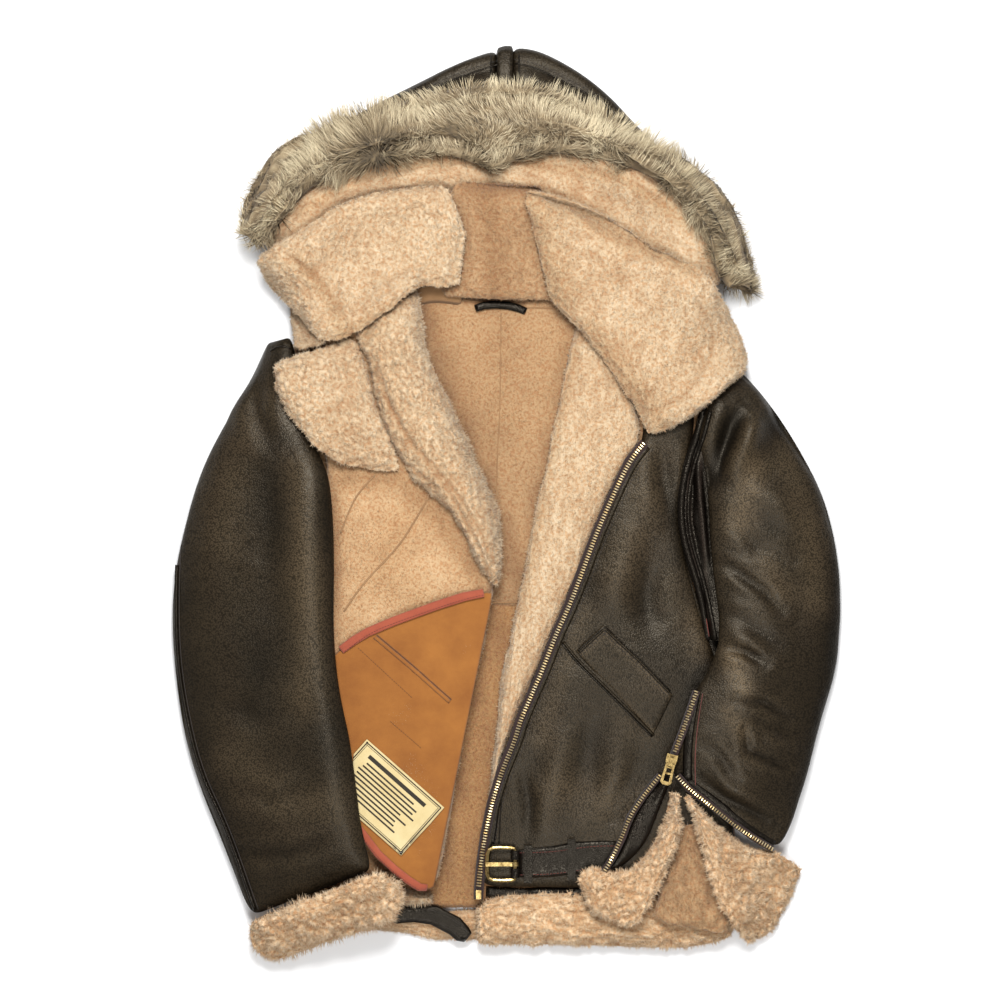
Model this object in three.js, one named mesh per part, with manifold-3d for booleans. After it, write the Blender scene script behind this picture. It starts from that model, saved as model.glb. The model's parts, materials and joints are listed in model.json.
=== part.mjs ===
// Shearling flight coat, laid flat on its back and opened: millimetres, +Z up, the hood towards +Y.
// Every soft piece is a closed slab made from a short table of sections, laid on what is under it.
import * as THREE from "three";
import { mergeVertices } from "three/addons/utils/BufferGeometryUtils.js";
import Module from "manifold-3d";

// Named sizes, in millimetres.
const SKIN = 12;          // shearling body skin, leather and clipped pile together
const LONG_PILE = 18;     // collar, lapel and cuff skin with its long pile
const LEATHER = 3;        // plain leather pieces sewn on the coat
const CANVAS = 2;         // map pocket cloth
const GAP = 0.6;          // clearance between pieces that lie on each other
const SEAT = 0.35;        // how close a draped piece comes where it touches
const SLOT = 3;           // pressed-flat hollow inside a sleeve
const CELL = 2;           // cell of the height map that pieces are laid on
const TAPE_WIDTH = 10;
const TAPE_THICK = 1.6;
const STRAP_THICK = 4;

const coat = new THREE.Group();
coat.name = "shearling_coat";

const SKINS = {
  leather: new THREE.MeshStandardMaterial({ name: "leather_brown", color: 0x3a3228, roughness: 0.55 }),
  black: new THREE.MeshStandardMaterial({ name: "leather_black", color: 0x1d1815, roughness: 0.5 }),
  pile: new THREE.MeshStandardMaterial({ name: "pile_cream", color: 0xdebc8e, roughness: 0.95 }),
  lining: new THREE.MeshStandardMaterial({ name: "pile_tan", color: 0xb28a5c, roughness: 0.95 }),
  fur: new THREE.MeshStandardMaterial({ name: "hood_fur_grey", color: 0x8c8270, roughness: 0.95 }),
  canvas: new THREE.MeshStandardMaterial({ name: "pocket_canvas", color: 0xc8823c, roughness: 0.85 }),
  binding: new THREE.MeshStandardMaterial({ name: "binding_salmon", color: 0xc86950, roughness: 0.8 }),
  label: new THREE.MeshStandardMaterial({ name: "label_cream", color: 0xe1cd9b, roughness: 0.85 }),
  brass: new THREE.MeshStandardMaterial({ name: "brass_aged", color: 0xcdaf6e, roughness: 0.35, metalness: 1 }),
  tape: new THREE.MeshStandardMaterial({ name: "zip_tape_dark", color: 0x2a1a16, roughness: 0.9 })
};

const mix = (a, b, t) => a + (b - a) * t;
const dome = (u) => Math.sqrt(Math.max(Math.sin(Math.PI * u), 0));

// A short table with named columns becomes a list of sections.
function table(names, lines) {
  const keys = names.split(" ");
  return lines.map((line) => Object.fromEntries(keys.map((key, i) => [key, line[i]])));
}

// The height map of everything laid so far.
const heights = new Map();
const cellKey = (cx, cy) => cx * 4096 + cy;

function raise(geometry) {
  const at = geometry.getAttribute("position");
  const index = geometry.getIndex();
  const corner = [new THREE.Vector3(), new THREE.Vector3(), new THREE.Vector3()];
  for (let f = 0; f < index.count; f += 3) {
    corner.forEach((c, k) => c.fromBufferAttribute(at, index.getX(f + k)));
    const reach = Math.max(corner[0].distanceTo(corner[1]), corner[0].distanceTo(corner[2]));
    const steps = Math.ceil(reach) + 1;
    for (let i = 0; i <= steps; i += 1) {
      for (let j = 0; j <= steps - i; j += 1) {
        const p = i / steps;
        const q = j / steps;
        const r = 1 - p - q;
        const x = corner[0].x * r + corner[1].x * p + corner[2].x * q;
        const y = corner[0].y * r + corner[1].y * p + corner[2].y * q;
        const z = corner[0].z * r + corner[1].z * p + corner[2].z * q;
        const key = cellKey(Math.floor(x / CELL), Math.floor(y / CELL));
        heights.set(key, Math.max(heights.get(key) ?? -1, z));
      }
    }
  }
}

// The highest thing within a reach of a point, or none.
function heightAt(x, y, reach) {
  let top = -1;
  const cells = Math.ceil(reach / CELL);
  const cx = Math.floor(x / CELL);
  const cy = Math.floor(y / CELL);
  for (let i = -cells; i <= cells; i += 1) {
    for (let j = -cells; j <= cells; j += 1) {
      const dx = (cx + i + 0.5) * CELL - x;
      const dy = (cy + j + 0.5) * CELL - y;
      if (Math.hypot(dx, dy) <= reach + CELL * 0.6) {
        top = Math.max(top, heights.get(cellKey(cx + i, cy + j)) ?? -1);
      }
    }
  }
  return top;
}

// One closed body from an outer and an inner grid of points, with a rounded rim.
function slab(outer, inner, push) {
  const n = outer.length;
  const m = outer[0].length;
  const points = [];
  const faces = [];
  const put = (v) => points.push(v) - 1;
  const top = outer.map((row) => row.map(put));
  const low = inner.map((row) => row.map(put));
  const centre = (i, j) => outer[i][j].clone().add(inner[i][j]).multiplyScalar(0.5);
  const quad = (a, b, c, d) => faces.push(a, b, c, a, c, d);
  for (let i = 0; i < n - 1; i += 1) {
    for (let j = 0; j < m - 1; j += 1) {
      quad(top[i][j], top[i][j + 1], top[i + 1][j + 1], top[i + 1][j]);
      quad(low[i][j], low[i + 1][j], low[i + 1][j + 1], low[i][j + 1]);
    }
  }
  const round = [];
  for (let j = 0; j < m - 1; j += 1) round.push([0, j]);
  for (let i = 0; i < n - 1; i += 1) round.push([i, m - 1]);
  for (let j = m - 1; j > 0; j -= 1) round.push([n - 1, j]);
  for (let i = n - 1; i > 0; i -= 1) round.push([i, 0]);
  const rim = round.map(([i, j]) => {
    const here = centre(i, j);
    const out = new THREE.Vector3();
    if (i === 0) out.add(here.clone().sub(centre(1, j)).normalize());
    if (i === n - 1) out.add(here.clone().sub(centre(n - 2, j)).normalize());
    if (j === 0) out.add(here.clone().sub(centre(i, 1)).normalize());
    if (j === m - 1) out.add(here.clone().sub(centre(i, m - 2)).normalize());
    return put(here.add(out.normalize().multiplyScalar(push)));
  });
  round.forEach(([i, j], k) => {
    const next = (k + 1) % round.length;
    const [a, b] = round[next];
    quad(top[a][b], top[i][j], rim[k], rim[next]);
    quad(rim[next], rim[k], low[i][j], low[a][b]);
  });
  return closed(points, faces);
}

// Indexed geometry whose faces look outwards.
function closed(points, faces) {
  let volume = 0;
  for (let f = 0; f < faces.length; f += 3) {
    const [a, b, c] = [points[faces[f]], points[faces[f + 1]], points[faces[f + 2]]];
    volume += a.dot(b.clone().cross(c));
  }
  const order = volume < 0 ? faces.slice().reverse() : faces;
  const geometry = new THREE.BufferGeometry();
  geometry.setAttribute("position", new THREE.Float32BufferAttribute(points.flatMap((p) => p.toArray()), 3));
  geometry.setIndex(order);
  geometry.computeVertexNormals();
  return geometry;
}

// Pieces of one layer lie side by side, and settle() makes them the ground of the next layer.
const layer = [];

function add(name, skin, geometry) {
  const mesh = new THREE.Mesh(geometry, SKINS[skin]);
  mesh.name = name;
  coat.add(mesh);
  layer.push(geometry);
  return mesh;
}

function settle() {
  layer.splice(0).forEach(raise);
}

// Move a line of points towards the next one, so that the rounded rim ends on the drawn edge.
function drawIn(line, next, push) {
  line.forEach((p, j) => {
    const span = p.distanceTo(next[j]);
    p.lerp(next[j], Math.min(push, span * 0.6) / span);
  });
}

// Let a draped grid sink on to what is under it, by no more than a limit, without touching it.
function sink(plan, base, limit) {
  const n = base.length;
  const m = base[0].length;
  const steps = 5;
  const spare = Array.from({ length: n - 1 }, () => new Array(m - 1).fill(limit));
  for (let i = 0; i < n - 1; i += 1) {
    for (let j = 0; j < m - 1; j += 1) {
      for (let p = 0; p <= steps; p += 1) {
        for (let q = 0; q <= steps; q += 1) {
          const [s, t] = [p / steps, q / steps];
          const blend = (a, b, c, d) => mix(mix(a, b, t), mix(c, d, t), s);
          const [a, b] = [plan[i][j], plan[i][j + 1]];
          const [c, d] = [plan[i + 1][j], plan[i + 1][j + 1]];
          const under = heightAt(blend(a.x, b.x, c.x, d.x), blend(a.y, b.y, c.y, d.y), 1);
          const z = blend(base[i][j], base[i][j + 1], base[i + 1][j], base[i + 1][j + 1]);
          spare[i][j] = Math.min(spare[i][j], z - under - SEAT);
        }
      }
    }
  }
  base.forEach((line, i) => line.forEach((z, j) => {
    let room = limit;
    for (const a of [i - 1, i]) {
      for (const b of [j - 1, j]) {
        if (spare[a]?.[b] !== undefined) room = Math.min(room, spare[a][b]);
      }
    }
    line[j] = Math.max(z - Math.max(room, 0), 0);
  }));
}

// A soft piece between edge a and edge b of each row, laid on the coat under it.
// low: wanted height of its underside, thick: full thickness, edge: share of it left at the rim.
function lay(name, skin, rows, size) {
  const across = size.across ?? 7;
  const edge = size.edge ?? 0.8;
  const push = size.push ?? Math.min(size.thick * edge * 0.45, 6);
  const reach = size.reach ?? 12;
  const gap = size.gap ?? GAP;
  const n = rows.length;
  const plan = rows.map((row) => {
    const span = Math.hypot(row.bx - row.ax, row.by - row.ay);
    const inset = Math.min(push / span, 0.3);
    return Array.from({ length: across }, (_, j) => {
      const even = j / (across - 1);
      const u = mix(even, (1 - Math.cos(Math.PI * even)) / 2, 0.6);
      const w = mix(inset, 1 - inset, u);
      return { u, x: mix(row.ax, row.bx, w), y: mix(row.ay, row.by, w) };
    });
  });
  const ends = [[0, 1], [n - 1, n - 2]];
  ends.forEach(([i, k]) => plan[i].forEach((p, j) => {
    const far = plan[k][j];
    const span = Math.hypot(far.x - p.x, far.y - p.y);
    const step = Math.min(push, span * 0.6) / span;
    p.x = mix(p.x, far.x, step);
    p.y = mix(p.y, far.y, step);
  }));
  const base = plan.map((line, i) => line.map((p) => {
    const a = rows[i].lowA ?? size.low ?? 0;
    const b = rows[i].lowB ?? size.low ?? 0;
    const arch = (size.crown ?? 0) * Math.sin(Math.PI * p.u);
    return Math.max(mix(a, b, p.u) + arch, heightAt(p.x, p.y, reach) + gap);
  }));
  for (let pass = 0; pass < (size.relax ?? 2); pass += 1) {
    const before = base.map((line) => line.slice());
    for (let i = 0; i < n; i += 1) {
      for (let j = 0; j < across; j += 1) {
        const side = (before[i][Math.max(j - 1, 0)] + before[i][Math.min(j + 1, across - 1)]) / 2;
        const along = (before[Math.max(i - 1, 0)][j] + before[Math.min(i + 1, n - 1)][j]) / 2;
        base[i][j] = Math.max(before[i][j], (side + along) / 2);
      }
    }
  }
  for (let pass = 0; pass < 3 && heights.size > 0; pass += 1) sink(plan, base, size.sink ?? 1.5);
  const full = (i, j) => {
    const v = n > 2 ? i / (n - 1) : 0.5;
    const share = dome(plan[i][j].u) * Math.min(1, (size.ends ?? 1.5) * dome(v) + 0.15);
    return (rows[i].thick ?? size.thick) * mix(edge, 1, share);
  };
  const at = (i, j, z) => new THREE.Vector3(plan[i][j].x, plan[i][j].y, z);
  const outer = plan.map((line, i) => line.map((_, j) => at(i, j, base[i][j] + full(i, j))));
  const inner = plan.map((line, i) => line.map((_, j) => at(i, j, base[i][j])));
  return add(name, skin, slab(outer, inner, push));
}

// A skin folded back over itself: from s along the ground to the fold at e, and back on top to h.
function fold(name, skin, rows, size) {
  const half = size.thick / 2;
  const radius = half + size.between / 2;
  const runs = size.runs ?? 4;
  const back = size.back ?? 3;
  const outer = [];
  const inner = [];
  rows.forEach((row) => {
    const span = Math.hypot(row.ex - row.sx, row.ey - row.sy);
    const dx = (row.ex - row.sx) / span;
    const dy = (row.ey - row.sy) / span;
    const cx = row.ex - dx * (radius + half);
    const cy = row.ey - dy * (radius + half);
    const low = (row.low ?? size.low) + half;
    const mid = low + radius;
    const outside = [];
    const inside = [];
    for (let k = 0; k < runs; k += 1) {
      const x = mix(row.sx, cx, k / runs);
      const y = mix(row.sy, cy, k / runs);
      outside.push(new THREE.Vector3(x, y, low - half));
      inside.push(new THREE.Vector3(x, y, low + half));
    }
    const turns = 5;
    for (let k = 0; k <= turns; k += 1) {
      const angle = mix(-Math.PI / 2, Math.PI / 2, k / turns);
      const place = (r) => new THREE.Vector3(
        cx + dx * Math.cos(angle) * r, cy + dy * Math.cos(angle) * r, mid + Math.sin(angle) * r);
      outside.push(place(radius + half));
      inside.push(place(radius - half));
    }
    for (let k = 1; k <= back; k += 1) {
      const x = mix(cx, row.hx, k / back);
      const y = mix(cy, row.hy, k / back);
      const swell = (size.swell ?? 0) * Math.sin(Math.PI * k / back);
      outside.push(new THREE.Vector3(x, y, mid + radius + half + swell));
      inside.push(new THREE.Vector3(x, y, mid + radius - half));
    }
    outer.push(outside);
    inner.push(inside);
  });
  const push = size.push ?? half * 0.8;
  [outer, inner].forEach((grid) => {
    const last = grid.length - 1;
    drawIn(grid[0], grid[1], push);
    drawIn(grid[last], grid[last - 1], push);
    grid.forEach((line) => {
      const end = line.length - 1;
      drawIn([line[0]], [line[1]], push);
      drawIn([line[end]], [line[end - 1]], push);
    });
  });
  return add(name, skin, slab(outer, inner, push));
}

// A strip that follows a line, as rows for lay().
function strip(line, width) {
  return line.map((p, i) => {
    const before = line[Math.max(i - 1, 0)];
    const after = line[Math.min(i + 1, line.length - 1)];
    const span = Math.hypot(after.x - before.x, after.y - before.y);
    const nx = -(after.y - before.y) / span;
    const ny = (after.x - before.x) / span;
    const half = (p.wide ?? width) / 2;
    return { ax: p.x + nx * half, ay: p.y + ny * half, bx: p.x - nx * half, by: p.y - ny * half };
  });
}

const EDGES = "ax ay bx by";

// Back of the coat: yoke, lower back and hem band, straight on the table.
lay("back_upper", "lining", table(EDGES, [
  [-86, 203, 86, 203], [-150, 187, 150, 187], [-202, 165, 198, 162], [-214, 120, 200, 120],
  [-212, 60, 206, 60], [-208, 0, 208, 0], [-208, -50, 213, -50], [-211, -96, 219, -96]
]), { thick: SKIN, across: 9, edge: 0.85, push: 4 });
lay("back_lower", "lining", table(EDGES, [
  [-211, -98, 219, -98], [-213, -150, 223, -150], [-213, -210, 225, -210], [-212, -270, 227, -270],
  [-210, -330, 228, -330], [-209, -401, 229, -401]
]), { thick: SKIN, across: 9, edge: 0.85, push: 4 });
lay("back_hem", "pile", table(EDGES, [
  [-208, -403, -208, -424], [-150, -403, -150, -425], [-110, -403, -110, -429], [-72, -403, -72, -434],
  [-36, -403, -36, -438], [0, -403, 0, -434], [110, -403, 110, -434], [229, -403, 229, -428]
]), { thick: SKIN, across: 4, edge: 0.6 });

settle();

// Hood, a bag pressed flat: lower layer on the table, folded at its crown, upper layer back to the ruff.
const HOOD_ROWS = "sx sy ex ey hx hy";
const HOOD = { thick: SKIN, between: 3.5, low: 0, swell: 4, runs: 4, back: 3, push: 1.6 };
fold("hood_left", "leather", table(HOOD_ROWS, [
  [-8, 207, -200, 207, -172, 207], [-8, 232, -226, 245, -200, 240], [-8, 262, -230, 290, -204, 276],
  [-8, 292, -216, 328, -192, 303], [-8, 322, -190, 358, -166, 328], [-8, 350, -158, 381, -140, 348],
  [-8, 372, -125, 400, -110, 360], [-8, 390, -90, 417, -82, 367], [-8, 403, -57, 434, -54, 371],
  [-10, 404, -32, 444, -31, 374], [-11, 410, -8.5, 453, -8.5, 376]
]), HOOD);
fold("hood_gusset", "leather", table(HOOD_ROWS, [
  [-6, 207, -6, 454, -6, 377], [1, 207, 1, 456, 1, 377], [8, 207, 8, 456, 8, 377]
]), { ...HOOD, runs: 5 });
fold("hood_right", "leather", table(HOOD_ROWS, [
  [13, 410, 10.5, 455, 10.5, 376], [12, 405, 33, 452, 31, 375], [10, 404, 54, 442, 48, 372],
  [10, 394, 77, 428, 68, 368], [10, 383, 97, 413, 88, 360], [10, 370, 115, 395, 104, 350],
  [10, 352, 135, 373, 122, 338], [10, 332, 157, 353, 138, 325], [10, 308, 181, 333, 160, 308],
  [10, 284, 204, 303, 182, 285], [10, 258, 218, 268, 196, 258], [10, 232, 218, 232, 196, 228],
  [10, 207, 200, 205, 176, 205]
]), HOOD);

settle();

// Collar and hanger at the neck, and the pile facing inside the hood's opening.
lay("hanger_loop", "black", strip(table("x y", [
  [-29, 196], [-20, 199], [-8, 200], [4, 199], [14, 196.5], [22, 193]
]), 8), { thick: LEATHER, across: 3, reach: 6, low: SKIN + GAP });
lay("belt_tip", "black", strip(table("x y wide", [
  [-128, -408, 16], [-107, -409, 17], [-90, -407, 18], [-70, -409, 20], [-49, -420, 20], [-41, -428, 18],
  [-36, -432, 13]
]), 18), { thick: STRAP_THICK, across: 4, reach: 6, edge: 0.9, relax: 4 });
settle();
lay("hood_facing", "pile", table(EDGES, [
  [-244, 258, -214, 236], [-230, 282, -203, 248], [-210, 308, -184, 262], [-184, 330, -160, 278],
  [-142, 345, -124, 293], [-95, 354, -86, 299], [-45, 358, -45, 303], [0, 354, -2, 303],
  [47, 358, 37, 298], [95, 352, 80, 283], [125, 342, 105, 266], [155, 328, 130, 247],
  [180, 306, 150, 233], [200, 280, 170, 220], [214, 252, 186, 208], [221, 226, 198, 200]
]), { thick: 15, across: 5, edge: 0.7, relax: 3, reach: 18 });

// Fronts. The wearer's left front lies leather up, its wind flap pile up beyond the zip.
lay("wind_flap", "pile", table(EDGES, [
  [72, 190, 100, 190], [66, 170, 108, 170], [60, 149, 116, 149], [54, 113, 129, 113],
  [47, 78, 138, 78], [43, 58, 134, 58], [41, 44, 124, 44], [37, 24, 114, 24], [32, 6, 106, 6],
  [23, -33, 89, -33], [15, -78, 72, -78], [7, -114, 57, -114], [0, -149, 42, -149],
  [-7, -185, 27, -185], [-9, -211, 16, -211], [-14, -246, 4, -246], [-17, -278, -6, -278],
  [-18, -294, -11, -294]
]), { thick: 15, across: 6, edge: 0.6 });
lay("front_left", "leather", table(EDGES, [
  [104, 186, 176, 176], [112, 162, 190, 156], [126, 126, 194, 126], [137, 92, 190, 100], [140, 66, 190, 70],
  [126, 44, 182, 44], [108, 6, 174, 8], [91, -31, 176, -31], [78, -64, 184, -64],
  [64, -101, 195, -98], [52, -128, 201, -128], [40, -160, 214, -160], [27, -190, 222, -190],
  [16, -216, 226, -216], [8, -240, 227, -240], [-2, -269, 228, -269], [-12, -299, 229, -299],
  [-19, -329, 229, -329], [-23, -360, 230, -360], [-25, -381, 230, -381]
]), { thick: SKIN, across: 8, edge: 0.75 });
lay("front_left_hem", "pile", table(EDGES, [
  [-32, -402, -32, -437], [-23, -392, -24, -441], [-3, -385, -3, -442], [40, -383, 40, -442],
  [90, -383, 90, -443], [150, -383, 150, -446], [185, -383, 185, -445], [212, -384, 212, -441],
  [232, -387, 232, -434]
]), { thick: LONG_PILE, across: 5, edge: 0.6 });

// The wearer's right front is folded back along a ridge, pile outside.
fold("front_right", "pile", table("sx sy ex ey hx hy", [
  [-150, 186, -92, 198, -150, 192], [-192, 158, -94, 172, -182, 165], [-194, 134, -90, 149, -186, 140],
  [-194, 110, -80, 124, -186, 115], [-194, 84, -68, 99, -184, 90], [-194, 58, -56, 72, -180, 62],
  [-194, 24, -43, 38, -178, 30], [-194, -2, -28, 6, -180, 2], [-195, -42, -14, -32, -184, -36],
  [-197, -84, -8, -78, -185, -80], [-198, -108, -12, -100, -184, -102], [-198, -142, -18, -134, -182, -138],
  [-198, -188, -31, -184, -176, -184], [-197, -236, -38, -234, -168, -232], [-196, -284, -48, -282, -158, -272],
  [-194, -326, -56, -326, -152, -300], [-192, -352, -63, -362, -150, -318], [-190, -366, -68, -378, -148, -326]
]), { thick: SKIN, between: 1.2, low: SKIN + GAP, runs: 4, back: 5 });
lay("front_right_hem", "pile", table(EDGES, [
  [-122, -377, -122, -398], [-100, -380, -100, -400], [-82, -382, -80, -401], [-70, -385, -68, -400]
]), { thick: 14, across: 4, edge: 0.6, ends: 3 });
settle();

// Pieces sewn on the fronts.
lay("pocket_welt", "leather", table(EDGES, [
  [71, -145, 99, -119], [86, -162, 119, -139], [106, -182, 138, -158], [128, -206, 155, -175],
  [149, -228, 168, -189]
]), { thick: LEATHER, across: 4, reach: 6, edge: 0.9 });
const ZIP_LINE = table("x y", [
  [140, 62], [125, 44], [107, 6], [91, -31], [78, -64], [64, -101], [52, -128], [40, -160], [27, -190],
  [16, -215], [10, -234], [-2, -264], [-12, -296], [-19, -329], [-23, -358], [-25, -380],
  [-25.5, -393]
]);
lay("zip_tape", "tape", strip(ZIP_LINE, TAPE_WIDTH), { thick: TAPE_THICK, across: 3, reach: 8, edge: 0.9 });
lay("map_pocket", "canvas", table(EDGES, [
  [-166, -151, -152, -310], [-150, -137, -139, -326], [-130, -125, -124, -343], [-109, -116, -109, -358],
  [-88, -109, -97, -368], [-68, -102, -87, -375], [-45, -95, -80, -378], [-27, -91, -75, -378],
  [-14, -89, -72, -377]
]), { thick: CANVAS, across: 8, reach: 8, edge: 0.9, relax: 4 });
settle();
lay("binding_top", "binding", strip(table("x y", [
  [-162, -144], [-150, -135], [-135, -126], [-109, -115], [-68, -100], [-40, -91], [-20, -87]
]), 9), { thick: LEATHER, across: 3, reach: 6 });
lay("binding_bottom", "binding", strip(table("x y", [
  [-146, -318], [-125, -346], [-109, -361], [-95, -372], [-84, -379], [-76, -380]
]), 8), { thick: LEATHER, across: 3, reach: 6 });
lay("label", "label", table(EDGES, [
  [-136, -232, -59, -300], [-149, -247, -73, -316], [-151, -278, -88, -332], [-146, -309, -102, -348]
]), { thick: 1.2, across: 4, reach: 6, edge: 0.9 });
settle();

// A flat plate with corner points in a plane, given a depth.
function plate(corners, depth, holes = []) {
  const shape = new THREE.Shape(corners.map(([x, y]) => new THREE.Vector2(x, y)));
  holes.forEach((hole) => shape.holes.push(new THREE.Path(hole.map(([x, y]) => new THREE.Vector2(x, y)))));
  const solid = new THREE.ExtrudeGeometry(shape, { depth, bevelEnabled: false });
  solid.deleteAttribute("uv");
  solid.deleteAttribute("normal");
  const merged = mergeVertices(solid, 1e-4);
  merged.computeVertexNormals();
  return merged;
}

const ring = (radius, count) => Array.from({ length: count }, (_, k) => {
  const angle = (2 * Math.PI * k) / count;
  return [radius * Math.cos(angle), radius * Math.sin(angle)];
});

const box = (x0, y0, x1, y1) => [[x0, y0], [x1, y0], [x1, y1], [x0, y1]];

// A round wire bent into a closed flat loop through its corner points.
function wireLoop(corners, radius, sides) {
  const outer = corners.map((p, i) => {
    const before = corners[(i + corners.length - 1) % corners.length];
    const after = corners[(i + 1) % corners.length];
    const along = new THREE.Vector3(after[0] - before[0], after[1] - before[1], 0).normalize();
    const out = new THREE.Vector3(along.y, -along.x, 0);
    return Array.from({ length: sides }, (_, k) => {
      const angle = (2 * Math.PI * k) / sides;
      const place = new THREE.Vector3(p[0], p[1], 0).addScaledVector(out, radius * Math.cos(angle));
      place.z = radius * Math.sin(angle);
      return place;
    });
  });
  const faces = [];
  outer.forEach((section, i) => section.forEach((_, k) => {
    const i2 = (i + 1) % outer.length;
    const k2 = (k + 1) % sides;
    const [a, b, c, d] = [i * sides + k, i * sides + k2, i2 * sides + k2, i2 * sides + k];
    faces.push(a, b, c, a, c, d);
  }));
  return closed(outer.flat(), faces);
}

const wasm = await Module();
wasm.setup();

// Two solids that touch or cross become one body.
function join(first, second) {
  const solids = [first, second].map((geometry) => {
    const bare = new THREE.BufferGeometry().setAttribute(
      "position", (geometry.index ? geometry.toNonIndexed() : geometry).getAttribute("position"));
    const merged = mergeVertices(bare, 1e-4);
    return new wasm.Manifold(new wasm.Mesh({
      numProp: 3, vertProperties: merged.attributes.position.array, triVerts: new Uint32Array(merged.index.array)
    }));
  });
  const made = solids[0].add(solids[1]).getMesh();
  const geometry = new THREE.BufferGeometry();
  geometry.setAttribute("position", new THREE.Float32BufferAttribute(made.vertProperties, 3));
  geometry.setIndex(Array.from(made.triVerts));
  geometry.computeVertexNormals();
  return geometry;
}

// Belt on the left front's hem, its buckle open towards the zip.
const BELT = { x: 11, y: -357, wire: 2, tall: 36, reach: 28, slack: 0.4, leather: 2 };
const beltGround = heightAt(0, BELT.y, 26);
const barZ = beltGround + GAP + BELT.wire + BELT.slack + BELT.leather;
lay("belt_strap", "black", table(EDGES, [
  [14.9, -343, 14.9, -371], [29, -341, 29, -371], [50, -339, 50, -370], [72, -335, 72, -367],
  [95, -334, 95, -366], [112, -334, 112, -366]
]), { thick: STRAP_THICK, across: 4, reach: 8, edge: 0.9, low: beltGround + GAP });
settle();
const staple = (tall) => {
  const foot = beltGround + GAP;
  const z = foot + STRAP_THICK + GAP;
  return [[-tall, foot], [-tall, z + 2.5], [tall, z + 2.5], [tall, foot],
    [tall - 2.2, foot], [tall - 2.2, z], [2.2 - tall, z], [2.2 - tall, foot]];
};
function band(name, x, y, width, tall) {
  const geometry = plate(staple(tall), width);
  geometry.rotateX(Math.PI / 2);
  geometry.rotateZ(Math.PI / 2);
  geometry.translate(x, y, 0);
  return add(name, "black", geometry);
}
band("belt_keeper", 20, BELT.y, 8, 18.5);
band("belt_loop", 63, -352, 8, 20);
const half = BELT.tall / 2 - BELT.wire;
const left = BELT.x - BELT.reach;
const frame = wireLoop([
  [BELT.x, BELT.y], [BELT.x, BELT.y + half - 3], [BELT.x - 1, BELT.y + half - 0.8],
  [BELT.x - 3.4, BELT.y + half], [BELT.x - 14, BELT.y + half + 0.4], [left + 6, BELT.y + half],
  [left + 2, BELT.y + half - 2], [left + 0.6, BELT.y + half - 6], [left, BELT.y],
  [left + 0.6, BELT.y - half + 6], [left + 2, BELT.y - half + 2], [left + 6, BELT.y - half],
  [BELT.x - 14, BELT.y - half - 0.4], [BELT.x - 3.4, BELT.y - half], [BELT.x - 1, BELT.y - half + 0.8],
  [BELT.x, BELT.y - half + 3]
], BELT.wire, 8);
frame.translate(0, 0, barZ);
add("buckle_frame", "brass", frame);
const eye = BELT.wire + BELT.slack;
const rest = BELT.wire + 0.4;
const prong = plate([
  ...ring(eye + 1.6, 16).slice(0, 7), [left - BELT.x - 1.5, rest + 1.4], [left - BELT.x - 2.5, rest + 0.2],
  [left - BELT.x + 3, rest], [-eye - 2.4, rest - 0.6], ...ring(eye + 1.6, 16).slice(8)
], 4, [ring(eye, 16)]);
prong.rotateX(Math.PI / 2);
prong.translate(BELT.x, BELT.y + 2, barZ);
add("buckle_prong", "brass", prong);
[["upper", 4.5], ["lower", -13.5]].forEach(([where, from]) => {
  const loop = plate(ring(eye + BELT.leather, 16), 9, [ring(eye, 16)]);
  loop.rotateX(Math.PI / 2);
  loop.translate(BELT.x, BELT.y + from + 9, barZ);
  add(`buckle_fold_${where}`, "black", loop);
});
const pin = plate(box(-2.6, -4.5, 2.6, 4.5), 3);
pin.translate(-25.3, -387.5, heightAt(-25.3, -387.5, 4) + GAP);
add("zip_pin", "brass", pin);

// Sleeves, each an under and a top skin pressed flat on each other, sewn at their two edges.
const LEFT_SLEEVE = table("ax ay bx by lowA lowB", [
  [-236, 160, -212, 166, 0, 8], [-246, 136, -205, 138, 0, 13], [-267, 97, -202, 100, 0, 14],
  [-286, 62, -194, 66, 0, 14], [-303, 27, -175, 36, 0, 34], [-314, -10, -171, 3, 0, 38],
  [-324, -47, -169, -35, 0, 38], [-330, -90, -169, -80, 0, 38], [-330, -135, -170, -128, 0, 38],
  [-325, -185, -165, -182, 0, 38], [-317, -235, -154, -230, 0, 38], [-302, -283, -149, -268, 1, 38],
  [-285, -323, -144, -310, 3, 38], [-267, -369, -136, -345, 5, 38], [-253, -409, -131, -361, 6, 38]
]);
const RIGHT_SLEEVE = table("ax ay bx by lowA lowB", [
  [199, 112, 232, 137, 13, 0], [200, 95, 260, 105, 13, 0], [197, 66, 281, 75, 13, 0],
  [201, 40, 299, 44, 13, 0], [205, 14, 315, 13, 14, 0], [206, -18, 325, -20, 14, 0],
  [208, -48, 332, -56, 14, 0], [212, -82, 333, -94, 15, 0], [216, -112, 332, -135, 20, 0],
  [216, -140, 329, -163, 26, 0], [203, -170, 322, -190, 26, 0], [186, -192, 313, -217, 26, 0],
  [178, -222, 303, -257, 26, 3], [171, -250, 289, -300, 26, 8], [171, -273, 275, -341, 26, 12]
]);
const UNDER = { thick: 12, across: 8, edge: 0.55, relax: 7, reach: 10 };
const TOP = { thick: 20, across: 9, edge: 0.4, relax: 3, reach: 6, gap: SLOT, push: 3.2 };
lay("sleeve_left_under", "leather", LEFT_SLEEVE, UNDER);
lay("sleeve_right_under", "leather", RIGHT_SLEEVE, UNDER);
settle();
lay("sleeve_left_top", "leather", LEFT_SLEEVE, TOP);
lay("sleeve_right_top", "leather", RIGHT_SLEEVE, TOP);
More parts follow.
